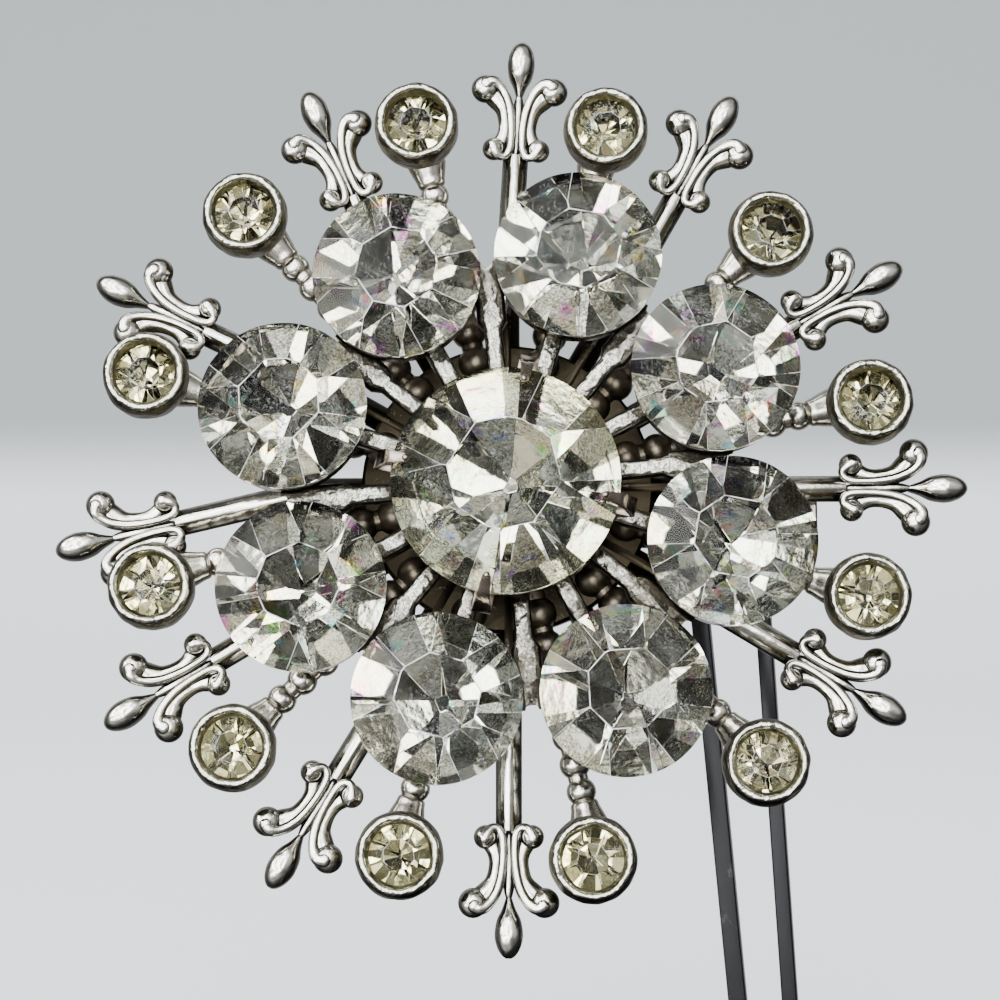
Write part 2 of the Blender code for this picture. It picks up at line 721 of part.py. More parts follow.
def claw():
    """A flat claw along +X: out from the cup, up and in past the girdle, then over the crown."""
    clear = SEAT_GAP + CLAW_THICKNESS / 2.0
    outside = CENTRE_RADIUS + clear
    girdle_top = CENTRE_GIRDLE + GIRDLE_HEIGHT / 2.0
    root = CENTRE_GIRDLE - CENTRE_RIM_DROP - CLAW_THICKNESS
    slope = math.tan(math.radians(CROWN_DEG))
    lift = clear / math.cos(math.radians(CROWN_DEG))
    tip = CENTRE_RADIUS - CLAW_OVER_STONE
    half = CLAW_WIDTH / 2.0
    tip_half = CLAW_TIP_WIDTH / 2.0
    middle_half = (half + tip_half) / 2.0

    def over(x):
        return girdle_top + lift + (CENTRE_RADIUS - x) * slope

    route = (
        (centre_cup_radius(root) - CENTRE_WALL / 2.0, root, half),
        (CENTRE_RADIUS + CLAW_FLARE - CLAW_THICKNESS / 2.0, root, half),
        (CENTRE_RADIUS + CLAW_FLARE, root + CLAW_THICKNESS, half),
        (outside, girdle_top, middle_half),
        (CENTRE_RADIUS, over(CENTRE_RADIUS), middle_half),
        (tip, over(tip), tip_half),
    )
    rings = []
    for i, (x, z, width) in enumerate(route):
        before = route[max(0, i - 1)]
        after = route[min(len(route) - 1, i + 1)]
        run = Vector((after[0] - before[0], after[1] - before[1])).normalized()
        lean = Vector((-run.y, run.x)) * CLAW_THICKNESS / 2.0
        rings.append([Vector((x + s * lean.x, y * width, z + s * lean.y))
                      for s, y in ((-1.0, -1.0), (1.0, -1.0), (1.0, 1.0), (-1.0, 1.0))])
    bead = bmesh.new()
    bmesh.ops.create_icosphere(bead, subdivisions=1, radius=CLAW_TIP_BALL,
                               matrix=Matrix.Translation((tip, 0.0, over(tip) + CLAW_TIP_BALL / 3.0)))
    return [loft(rings), bead]


def centre_setting():
    """The conical cup of the centre crystal with its claws, one solid."""
    floor = culet_height(CENTRE_RADIUS, CENTRE_GIRDLE) - seat_drop()
    foot = HUB_THICKNESS + SEAT_GAP
    rim = CENTRE_GIRDLE - CENTRE_RIM_DROP
    rim_inner = pavilion_radius(CENTRE_RADIUS, CENTRE_GIRDLE, rim + seat_drop())
    cup = turn_profile((
        (centre_cup_radius(foot), foot),
        (centre_cup_radius(rim), rim),
        (rim_inner, rim),
        (CENTRE_RADIUS * CULET_SHARE, floor),
    ), CENTRE_CUP_SIDES)
    shapes = [cup]
    for index in range(CLAW_COUNT):
        spin = turned(CLAW_TURN_DEG + 360.0 * index / CLAW_COUNT)
        shapes += [moved(shape, spin) for shape in claw()]
    return fused("centre_setting", shapes)


def pin_stem_depth():
    """Distance of the pin's axis behind the back of the casting."""
    return SEAT_GAP + PIN_PLATE_THICKNESS + PIN_OPEN_GAP + PIN_STEM_RADIUS


def pin_clasp():
    """Back plate, two end posts and pin as one plain piece."""
    half = PIN_PLATE_WIDTH / 2.0
    front = -SEAT_GAP
    depth = pin_stem_depth()
    plate = block((PIN_LEFT, -half, front - PIN_PLATE_THICKNESS), (PIN_RIGHT, half, front))
    shapes = [plate]
    post_half = PIN_POST_WIDTH / 2.0
    lap = PIN_PLATE_THICKNESS / 2.0
    inset = BACK_STEP
    for left in (PIN_LEFT + inset, PIN_RIGHT - PIN_POST_LENGTH - inset):
        low = (left, -post_half, -depth - 2.0 * PIN_STEM_RADIUS)
        shapes.append(block(low, (left + PIN_POST_LENGTH, post_half, front - lap)))
    run = PIN_RIGHT - PIN_LEFT - PIN_POST_LENGTH
    along = Matrix.Translation((PIN_LEFT + PIN_POST_LENGTH / 2.0, 0.0, -depth))
    pin = loft([circle(PIN_STEM_RADIUS, height, PIN_STEM_SIDES) for height in (0.0, run)])
    shapes.append(moved(pin, along @ Matrix.Rotation(math.radians(90.0), 4, "Y")))
    return fused("pin_clasp", shapes)


def pin_in_world():
    """The pin's axis behind and above the hub, once the brooch leans back."""
    lean = math.radians(LEAN_DEG)
    back = pin_stem_depth() * math.cos(lean) + PIN_RISE * math.sin(lean)
    rise = PIN_RISE * math.cos(lean) - pin_stem_depth() * math.sin(lean)
    return back, rise


def hub_place():
    """World place of the hub, from where the prongs' hooks carry the pin."""
    back, _ = pin_in_world()
    behind = PIN_STEM_RADIUS + SEAT_GAP + PRONG_DEPTH / 2.0
    return Vector((-STAND_RIGHT_OF_HUB, -(back + behind), HUB_HEIGHT))


def prong_section(point, along, width, grow):
    """Section of a prong across its path, grown by a clearance for its socket."""
    twist = Matrix.Rotation(math.radians(-PRONG_TWIST_DEG), 3, "Z")
    forward = Vector((0.0, -along.z, along.y)).normalized()
    side = Vector((1.0, 0.0, 0.0))
    half_width = width / 2.0 + grow
    half_depth = PRONG_DEPTH / 2.0 + grow
    points = []
    for across, through in ((-1.0, -1.0), (1.0, -1.0), (1.0, 1.0), (-1.0, 1.0)):
        flat = twist @ Vector((across * half_width, through * half_depth, 0.0))
        points.append(point + side * flat.x - forward * flat.y)
    return points


def prong_route(foot_x, lean_deg, foot_z):
    """A prong's path: up from the base, forward under the pin and up in front of it."""
    _, pin_rise = pin_in_world()
    pin_z = HUB_HEIGHT + pin_rise
    slope = math.tan(math.radians(lean_deg))
    behind = PIN_STEM_RADIUS + SEAT_GAP + PRONG_DEPTH / 2.0
    turn_z = pin_z - PIN_STEM_RADIUS - SEAT_GAP - PRONG_DEPTH / 2.0
    corner = PRONG_DEPTH / 2.0
    yz = (
        (0.0, foot_z),
        (0.0, turn_z - corner),
        (-corner, turn_z),
        (-2.0 * behind + corner, turn_z),
        (-2.0 * behind, turn_z + corner),
        (-2.0 * behind, pin_z + HOOK_LIP - PIN_STEM_RADIUS),
    )
    return [Vector((foot_x - slope * min(z, turn_z), y, z)) for y, z in yz]


def prong_loft(route, width, grow):
    """A bar with a prong's section along a path."""
    rings = []
    for i, point in enumerate(route):
        run_in = point - route[max(0, i - 1)]
        run_out = route[min(len(route) - 1, i + 1)] - point
        along = run_in.normalized() + run_out.normalized()
        rings.append(prong_section(point, along, width, grow))
    return loft(rings)


def stand_base():
    """A round base with a socket for each prong's foot."""
    outer = BASE_RADIUS
    profile = ((outer - BASE_BEVEL, 0.0), (outer, BASE_BEVEL), (outer, BASE_THICKNESS - BASE_BEVEL),
               (outer - BASE_BEVEL, BASE_THICKNESS))
    disc = turn_profile(profile, BASE_SIDES)
    floor = BASE_THICKNESS - SOCKET_DEPTH
    cutters = []
    for _, foot_x, lean_deg, width in PRONGS:
        slope = math.tan(math.radians(lean_deg))
        route = [Vector((foot_x - slope * z, 0.0, z)) for z in (floor, 2.0 * BASE_THICKNESS)]
        cutters.append(prong_loft(route, width, SEAT_GAP))
    return combined("stand_base", [disc], cutters, "DIFFERENCE")


def build_brooch(hub):
    """The brooch's own pieces, under the empty at its hub."""
    silver = material("bright_silver_plate", SILVER)
    aged = material("aged_silver_plate", AGED_SILVER)
    clear = material("clear_crystal", CLEAR_GLASS)
    yellowed = material("yellowed_rhinestone", YELLOWED_GLASS)
    base_shift = Matrix.Translation((0.0, BASE_RISE, 0.0))
    place("base_star", base_star(), aged, hub, base_shift)
    place("upper_star", upper_star(), silver, hub)
    centre = Matrix.Translation((CENTRE_SHIFT_X, CENTRE_SHIFT_Y, 0.0))
    place("centre_setting", centre_setting(), silver, hub, centre)
    stone = mesh_from("centre_crystal", [cut_stone(CENTRE_RADIUS, CORNER_DEG)])
    stone_seat = centre @ turned(CENTRE_TABLE_DEG, 0.0, CENTRE_GIRDLE)
    place("centre_crystal", stone, clear, hub, stone_seat)
    crystal = mesh_from("crystal", [cut_stone(CRYSTAL_RADIUS, CORNER_DEG)])
    for index in range(len(SEATS)):
        spin = turned(SEATS[index][2])
        seat = Matrix.Translation(seat_centre(index) + Vector((0.0, 0.0, CRYSTAL_GIRDLE))) @ spin
        place("crystal_%d" % (index + 1), crystal, clear, hub, seat)
    small = mesh_from("rhinestone", [round_stone(RHINESTONE_RADIUS)])
    for index in range(len(STEMS)):
        seat = base_shift @ bezel_place(index, RHINESTONE_GIRDLE)
        place("rhinestone_%d" % (index + 1), small, yellowed, hub, seat)
    place("pin_clasp", pin_clasp(), aged, hub, Matrix.Translation((0.0, PIN_RISE, 0.0)))


def build_stand():
    """The base and the two prongs."""
    steel = material("dark_steel", DARK_STEEL)
    place("stand_base", stand_base(), steel, None)
    foot_z = BASE_THICKNESS - SOCKET_DEPTH + SEAT_GAP
    for name, foot_x, lean_deg, width in PRONGS:
        shape = prong_loft(prong_route(foot_x, lean_deg, foot_z), width, 0.0)
        place(name, mesh_from(name, [shape]), steel, None)


def main():
    """Clear the scene and build the brooch on its stand."""
    for item in list(bpy.data.objects):
        bpy.data.objects.remove(item)
    hub = bpy.data.objects.new("brooch_hub", None)
    bpy.context.collection.objects.link(hub)
    hub.location = hub_place()
    hub.rotation_euler = (math.radians(90.0 - LEAN_DEG), 0.0, 0.0)
    build_brooch(hub)
    build_stand()
    bpy.context.view_layer.update()


main()
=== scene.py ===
"""Looks, light and camera for a snowflake brooch that hangs on a plain stand with two prongs.

The brooch is drawn in millimetres on its own face: x runs right, y runs up the face and z comes out
of it, from the middle of the back of the lower casting. FACE stands that face up in the frame of the
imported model, where it leans back by ten degrees. The stand is drawn in millimetres in that frame.
"""

import logging
import math
import random
from dataclasses import dataclass
from enum import Enum

import bmesh
import bpy
from mathutils import Matrix, Vector, noise


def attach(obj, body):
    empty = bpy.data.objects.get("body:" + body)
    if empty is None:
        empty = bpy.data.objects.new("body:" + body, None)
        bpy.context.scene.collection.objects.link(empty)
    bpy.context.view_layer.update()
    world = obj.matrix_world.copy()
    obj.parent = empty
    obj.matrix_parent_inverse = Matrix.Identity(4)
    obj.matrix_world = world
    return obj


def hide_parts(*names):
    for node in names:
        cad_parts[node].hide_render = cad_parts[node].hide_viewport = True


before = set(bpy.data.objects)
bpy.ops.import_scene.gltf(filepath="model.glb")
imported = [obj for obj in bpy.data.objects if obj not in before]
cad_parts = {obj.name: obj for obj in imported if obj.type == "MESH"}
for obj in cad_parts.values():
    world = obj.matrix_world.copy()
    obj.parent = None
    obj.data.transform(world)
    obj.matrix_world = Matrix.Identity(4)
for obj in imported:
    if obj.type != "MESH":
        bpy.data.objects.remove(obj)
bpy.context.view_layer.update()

log = logging.getLogger("brooch")

Point = tuple[float, ...]
Colour = tuple[float, float, float]

LEAN_DEG = 10.0
HUB_MM = Vector((-20.6, -7.933, 50.0))
MM = Matrix.Scale(0.001, 4)
FACE = MM @ Matrix.Translation(HUB_MM) @ Matrix.Rotation(math.radians(90.0 - LEAN_DEG), 4, "X")
FACE_WAY = FACE.to_3x3().normalized() @ Vector((0.0, 0.0, 1.0))
BODY = "root"


class Slot(Enum):
    """The record's material slots that a piece may take its finish from."""

    AGED_SILVER = "aged_silver"
    BRIGHT_SILVER = "bright_silver"
    CLEAR_CRYSTAL = "clear_crystal"
    YELLOWED_RHINESTONE = "yellowed_rhinestone"
    DARK_STEEL = "dark_steel"


def spoke(turn_deg: float, reach: float = 0.0, height: float = 0.0, rise: float = 0.0) -> Matrix:
    """Place of a shape drawn along +x on a spoke of the face.

    Args:
        turn_deg: Angle round the hub, anticlockwise from the right.
        reach: Distance out along the spoke.
        height: Height over the back of the casting.
        rise: Shift of the whole spoke up the face.

    Returns:
        The matrix on the face, in millimetres.
    """
    turn = Matrix.Rotation(math.radians(turn_deg), 4, "Z")
    return Matrix.Translation((0.0, rise, 0.0)) @ turn @ Matrix.Translation((reach, 0.0, height))


def smoothed(rows: list[Point], steps: int) -> list[Point]:
    """More rows between the rows of a table, along a smooth curve through them.

    Args:
        rows: Rows of equal length.
        steps: New rows for each old one.

    Returns:
        The rows of the finer table.
    """
    result = []
    for i in range(len(rows) - 1):
        a, b, c, d = (Vector(rows[max(0, min(len(rows) - 1, i + k))]) for k in (-1, 0, 1, 2))
        for k in range(steps):
            t = k / steps
            square = (2.0 * a - 5.0 * b + 4.0 * c - d) * t ** 2
            cube = (3.0 * b - a - 3.0 * c + d) * t ** 3
            result.append(tuple(0.5 * (2.0 * b + (c - a) * t + square + cube)))
    return result + [tuple(rows[-1])]


def linked(name: str, data: bpy.types.ID) -> bpy.types.Object:
    """Make an object and link it to the scene.

    Args:
        name: Its name.
        data: Its mesh, light or camera.

    Returns:
        The object.
    """
    thing = bpy.data.objects.new(name, data)
    bpy.context.scene.collection.objects.link(thing)
    return thing


def baked(host: bpy.types.Object) -> bpy.types.Mesh:
    """Take the mesh that an object's modifiers make, and remove the object.

    Args:
        host: The object.

    Returns:
        The plain mesh.
    """
    graph = bpy.context.evaluated_depsgraph_get()
    made = bpy.data.meshes.new_from_object(host.evaluated_get(graph))
    bpy.data.objects.remove(host)
    return made


class Wiring:
    """A node tree under construction, for a material or for Geometry Nodes."""

    def __init__(self, tree: bpy.types.NodeTree) -> None:
        """Start on an empty tree."""
        self.tree = tree
        tree.nodes.clear()

    def add(self, kind: str, settings: dict | None = None, **sockets: object) -> bpy.types.Node:
        """Add a node.

        Args:
            kind: Blender's name for the node type.
            settings: Properties of the node to set first.
            **sockets: Input values or output sockets to link, by socket name with _ for a space.

        Returns:
            The new node.
        """
        node = self.tree.nodes.new(kind)
        for key, value in (settings or {}).items():
            setattr(node, key, value)
        for key, value in sockets.items():
            self.feed(self.socket(node, key), value)
        return node

    def out(self, kind: str, settings: dict | None = None, **sockets: object) -> bpy.types.NodeSocket:
        """Add a node and take its first output."""
        return self.add(kind, settings, **sockets).outputs[0]

    def socket(self, node: bpy.types.Node, key: str) -> bpy.types.NodeSocket:
        """Find an input of a node.

        Args:
            node: The node.
            key: The input's name with _ for a space, or its number after a leading i.

        Returns:
            The input.
        """
        if key[0] == "i" and key[1:].isdigit():
            return node.inputs[int(key[1:])]
        wanted = key.replace("_", " ")
        return next(s for s in node.inputs if s.name == wanted and s.enabled)

    def feed(self, socket: bpy.types.NodeSocket, value: object) -> None:
        """Link an output to an input, or set the input's value.

        Args:
            socket: The input.
            value: An output socket or a plain value.
        """
        if isinstance(value, bpy.types.NodeSocket):
            self.tree.links.new(value, socket)
        else:
            socket.default_value = value

    def calc(self, operation: str, one: object, two: object = 0.0, three: object = 0.0) -> object:
        """Work out a number from others.

        Args:
            operation: Blender's name for the operation.
            one: First number or socket.
            two: Second number or socket.
            three: Third one, which only MULTIPLY_ADD reads.

        Returns:
            The output socket.
        """
        node = self.add("ShaderNodeMath", {"operation": operation}, i0=one, i1=two)
        if operation == "MULTIPLY_ADD":
            self.feed(node.inputs[2], three)
        return node.outputs[0]

    def ramp(self, value: object, low: float, high: float, to_low: float = 0.0,
             to_high: float = 1.0) -> object:
        """A value moved smoothly from one range to another."""
        return self.out("ShaderNodeMapRange", {"interpolation_type": "SMOOTHSTEP"}, Value=value,
                        From_Min=low, From_Max=high, To_Min=to_low, To_Max=to_high)

    def along(self, vector: object, way: Point) -> object:
        """How far a vector reaches along a direction."""
        node = self.add("ShaderNodeVectorMath", {"operation": "DOT_PRODUCT"}, i0=vector, i1=way)
        return node.outputs["Value"]

    def blend(self, share: object, one: object, two: object) -> object:
        """Two colours mixed by a share, each an output or plain."""
        one, two = (c if isinstance(c, bpy.types.NodeSocket) else (*c, 1.0) for c in (one, two))
        return self.add("ShaderNodeMix", {"data_type": "RGBA"}, i0=share, i6=one, i7=two).outputs[2]

    def choose(self, share: object, one: object, two: object) -> object:
        """One number or the other by a share of 0 or 1."""
        return self.out("ShaderNodeMix", {"data_type": "FLOAT"}, i0=share, i2=one, i3=two)


class GrowingTree(Wiring):
    """A Geometry Nodes tree with named inputs, run on a mesh to make a plain mesh."""

    def __init__(self, name: str) -> None:
        """Start a tree with a geometry input and output.

        Args:
            name: Its name.
        """
        super().__init__(bpy.data.node_groups.new(name, "GeometryNodeTree"))
        face = self.tree.interface
        face.new_socket("Geometry", in_out="INPUT", socket_type="NodeSocketGeometry")
        face.new_socket("Geometry", in_out="OUTPUT", socket_type="NodeSocketGeometry")
        self.given = self.tree.nodes.new("NodeGroupInput")

    def takes(self, name: str, kind: str, default: object = None) -> bpy.types.NodeSocket:
        """Add a named input.

        Args:
            name: The input's name.
            kind: The end of Blender's name for the kind of socket.
            default: Its value until one is set, where the kind has one.

        Returns:
            The output of the tree's input node that carries it.
        """
        socket = self.tree.interface.new_socket(name, in_out="INPUT", socket_type="NodeSocket" + kind)
        if default is not None:
            socket.default_value = default
        return self.given.outputs[name]

    def ends(self, geometry: bpy.types.NodeSocket) -> None:
        """Close the tree with Realize Instances and Set Material.

        Args:
            geometry: The output that carries the finished shape.
        """
        finish = self.takes("Finish", "Material")
        whole = self.out("GeometryNodeRealizeInstances", Geometry=geometry)
        smooth = self.out("GeometryNodeSetShadeSmooth", Geometry=whole)
        dressed = self.out("GeometryNodeSetMaterial", Geometry=smooth, Material=finish)
        self.add("NodeGroupOutput", i0=dressed)

    def run(self, base: bpy.types.Mesh, sizes: dict[str, object]) -> bpy.types.Mesh:
        """Run the tree.

        Args:
            base: The mesh that the tree starts from.
            sizes: Values of the tree's inputs by name.

        Returns:
            The plain mesh that it makes.
        """
        host = linked("host", base)
        modifier = host.modifiers.new("grow", "NODES")
        modifier.node_group = self.tree
        for item in self.tree.interface.items_tree:
            if item.in_out == "INPUT" and item.name in sizes:
                modifier[item.identifier] = sizes[item.name]
        return baked(host)


def rod_tree() -> GrowingTree:
    """Build the tree that sweeps a round or flattened rod along a smooth path.

    Returns:
        The tree.
    """
    tree = GrowingTree("rod_along_path")
    steps = tree.takes("Steps", "Int", 24)
    sides = tree.takes("Sides", "Int", 12)
    flat = tree.takes("Height share", "Float", 1.0)
    girth = tree.out("GeometryNodeInputNamedAttribute", {"data_type": "FLOAT"}, Name="girth")
    line = tree.out("GeometryNodeMeshToCurve", Mesh=tree.given.outputs["Geometry"])
    line = tree.out("GeometryNodeSetCurveRadius", Curve=line, Radius=girth)
    line = tree.out("GeometryNodeCurveSplineType", {"spline_type": "CATMULL_ROM"}, Curve=line)
    line = tree.out("GeometryNodeResampleCurve", Curve=line, Count=steps)
    line = tree.out("GeometryNodeSetCurveNormal", {"mode": "Z_UP"}, Curve=line)
    section = tree.out("GeometryNodeCurvePrimitiveCircle", Resolution=sides, Radius=1.0)
    scale = tree.out("ShaderNodeCombineXYZ", X=1.0, Y=flat, Z=1.0)
    section = tree.out("GeometryNodeTransform", Geometry=section, Scale=scale)
    width = tree.out("GeometryNodeInputRadius")
    tree.ends(tree.out("GeometryNodeCurveToMesh", Curve=line, Profile_Curve=section, Scale=width,
                       Fill_Caps=True))
    return tree


def bead_tree() -> GrowingTree:
    """Build the tree that strings graduated beads along +x, inwards from a first place.

    Returns:
        The tree.
    """
    tree = GrowingTree("graduated_beads")
    count = tree.takes("Beads", "Int", 7)
    start, outer, inner, share, height, long_share = (
        tree.takes(name, "Float", value) for name, value in (
            ("First place", 23.0), ("Outer size", 2.1), ("Inner size", 2.4), ("Pitch share", 0.9),
            ("Height", 1.0), ("Length share", 0.95)))
    index = tree.out("GeometryNodeInputIndex")
    last = tree.calc("SUBTRACT", count, 1.0)
    grow = tree.calc("DIVIDE", tree.calc("SUBTRACT", inner, outer), last)
    size = tree.calc("MULTIPLY_ADD", grow, index, outer)
    before = tree.calc("MULTIPLY", index, tree.calc("SUBTRACT", index, 1.0))
    gained = tree.calc("MULTIPLY", tree.calc("MULTIPLY", before, grow), 0.5)
    run = tree.calc("MULTIPLY_ADD", outer, index, gained)
    run = tree.calc("MULTIPLY_ADD", size, 0.5, run)
    x = tree.calc("SUBTRACT", start, tree.calc("MULTIPLY", run, share))
    place = tree.out("ShaderNodeCombineXYZ", X=x, Z=height)
    points = tree.out("GeometryNodePoints", Count=count, Position=place)
    ball = tree.out("GeometryNodeMeshUVSphere", Segments=20, Rings=14, Radius=0.5)
    scale = tree.out("ShaderNodeCombineXYZ", X=tree.calc("MULTIPLY", size, long_share), Y=size, Z=size)
    tree.ends(tree.out("GeometryNodeInstanceOnPoints", Points=points, Instance=ball, Scale=scale))
    return tree


def ring_tree() -> GrowingTree:
    """Build the tree that copies a part to each point of a mesh, turned by the point's own angle.

    Returns:
        The tree.
    """
    tree = GrowingTree("copies_round_hub")
    part = tree.takes("Part", "Object")
    turn = tree.out("GeometryNodeInputNamedAttribute", {"data_type": "FLOAT"}, Name="turn")
    rotation = tree.out("FunctionNodeEulerToRotation", Euler=tree.out("ShaderNodeCombineXYZ", Z=turn))
    source = tree.add("GeometryNodeObjectInfo", {"transform_space": "ORIGINAL"}, Object=part)
    tree.ends(tree.out("GeometryNodeInstanceOnPoints", Points=tree.given.outputs["Geometry"],
                       Instance=source.outputs["Geometry"], Rotation=rotation))
    return tree


class Shape:
    """A mesh in the making, in millimetres, from closed forms."""

    def __init__(self) -> None:
        """Start empty."""
        self.bm = bmesh.new()

    def loft(self, rings: list[list[Point]], place: Matrix = Matrix(), ring: bool = False) -> "Shape":
        """Skin a row of closed sections.

        Args:
            rings: Sections of equal point count.
            place: Matrix that puts the form in its place.
            ring: Whether the last section joins the first, where otherwise both are capped.

        Returns:
            This shape.
        """
        rows = [[self.bm.verts.new(place @ Vector(p)) for p in section] for section in rings]
        count = len(rows[0])
        if not ring:
            self.bm.faces.new(reversed(rows[0]))
            self.bm.faces.new(rows[-1])
        for near, far in zip(rows, rows[1:] + (rows[:1] if ring else [])):
            for i in range(count):
                j = (i + 1) % count
                self.bm.faces.new((near[i], near[j], far[j], far[i]))
        return self

    def turn(self, profile: list[Point], sides: int, place: Matrix = Matrix(),
             ring: bool = False) -> "Shape":
        """Turn a form round its axis.

        Args:
            profile: Pairs of radius and height.
            sides: Points of a circle.
            place: Matrix that puts the form in its place.
            ring: Whether the profile closes on itself.

        Returns:
            This shape.
        """
        steps = [2.0 * math.pi * i / sides for i in range(sides)]
        rings = [[(r * math.cos(a), r * math.sin(a), z) for a in steps] for r, z in profile]
        return self.loft(rings, place, ring)

    def ball(self, centre: Point, radii: Point, sides: int = 24) -> "Shape":
        """Add a ball or flattened ball.

        Args:
            centre: Its middle.
            radii: Its half sizes.
            sides: Points of a circle.

        Returns:
            This shape.
        """
        matrix = Matrix.Translation(centre) @ Matrix.Diagonal((*radii, 1.0))
        bmesh.ops.create_uvsphere(self.bm, u_segments=sides, v_segments=sides * 2 // 3, radius=1.0,
                                  matrix=matrix)
        return self

    def slab(self, outline: list[Point], bottom: float, top: float) -> "Shape":
        """A flat plate from its outline."""
        return self.loft([[(x, y, z) for x, y in outline] for z in (bottom, top)])

    def take(self, mesh: bpy.types.Mesh, place: Matrix = Matrix()) -> "Shape":
        """Add a finished mesh, and remove it.

        Args:
            mesh: The mesh.
            place: Matrix that puts it in its place.

        Returns:
            This shape.
        """
        mesh.transform(place)
        self.bm.from_mesh(mesh)
        bpy.data.meshes.remove(mesh)
        return self

    def mesh(self, name: str) -> bpy.types.Mesh:
        """Close the shape.

        Args:
            name: Name of the mesh.

        Returns:
            The mesh, in millimetres, with its faces pointing out.
        """
        bmesh.ops.recalc_face_normals(self.bm, faces=self.bm.faces)
        made = bpy.data.meshes.new(name)
        self.bm.to_mesh(made)
        self.bm.free()
        return made


@dataclass
class Workshop:
    """The shared trees, and the last steps that every piece goes through."""

    rods: GrowingTree
    beads: GrowingTree
    rings: GrowingTree
    count: int = 0

    def rod(self, path: list[Point], finish: bpy.types.Material, steps: int = 24, sides: int = 12,
            flat: float = 1.0) -> bpy.types.Mesh:
        """Sweep a rod along a path.

        Args:
            path: Rows of x, y, z and half width.
            finish: Material of the rod.
            steps: Sections along the path.
            sides: Points of a section.
            flat: Height of a section as a share of its width.

        Returns:
            The rod's mesh.
        """
        line = bpy.data.meshes.new("path")
        line.from_pydata([row[:3] for row in path], [(i, i + 1) for i in range(len(path) - 1)], [])
        girth = line.attributes.new("girth", "FLOAT", "POINT")
        girth.data.foreach_set("value", [row[3] for row in path])
        sizes = {"Steps": steps, "Sides": sides, "Height share": flat, "Finish": finish}
        return self.rods.run(line, sizes)

    def copies(self, part: bpy.types.Mesh, places: list[Matrix],
               finish: bpy.types.Material) -> bpy.types.Mesh:
        """Copy a part to places on the face.

        Args:
            part: The part, upright at the origin.
            places: Matrices that move it and turn it about the face's axis.
            finish: Material of the copies.

        Returns:
            One mesh with all copies.
        """
        host = linked("part", part)
        points = bpy.data.meshes.new("places")
        points.from_pydata([m.translation for m in places], [], [])
        turn = points.attributes.new("turn", "FLOAT", "POINT")
        turn.data.foreach_set("value", [m.to_euler().z for m in places])
        made = self.rings.run(points, {"Part": host, "Finish": finish})
        bpy.data.objects.remove(host)
        return made

    def finish(self, name: str, mesh: bpy.types.Mesh, finishes: list[bpy.types.Material],
               slot: Slot, stands_for: list[str], place: Matrix = FACE,
               sharp_deg: float = 35.0) -> bpy.types.Object:
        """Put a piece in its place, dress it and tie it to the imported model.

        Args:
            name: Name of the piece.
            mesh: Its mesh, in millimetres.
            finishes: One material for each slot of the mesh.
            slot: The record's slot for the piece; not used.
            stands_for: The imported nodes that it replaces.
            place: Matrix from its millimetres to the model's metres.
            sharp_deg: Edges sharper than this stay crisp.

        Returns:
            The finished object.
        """
        mesh.transform(place)
        if mesh.materials:
            mesh.materials.clear()
        for finish in finishes:
            mesh.materials.append(finish)
        mesh.shade_smooth()
        mesh.set_sharp_from_angle(angle=math.radians(sharp_deg))
        mesh.name = name
        piece = linked(name, mesh)
        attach(piece, BODY)
        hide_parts(*stands_for)
        self.count += 1
        log.info("%s: %d faces", name, len(mesh.polygons))
        return piece


def bevelled(mesh: bpy.types.Mesh, width: float, segments: int = 2,
             angle_deg: float = 30.0) -> bpy.types.Mesh:
    """The same mesh with its edges rounded over.

    Args:
        mesh: The mesh, in millimetres.
        width: Width of the bevel.
        segments: Strips across it.
        angle_deg: Only edges sharper than this are rounded.

    Returns:
        The new mesh.
    """
    host = linked("host", mesh)
    modifier = host.modifiers.new("edge", "BEVEL")
    modifier.width = width
    modifier.segments = segments
    modifier.limit_method = "ANGLE"
    modifier.angle_limit = math.radians(angle_deg)
    made = baked(host)
    bpy.data.meshes.remove(mesh)
    return made


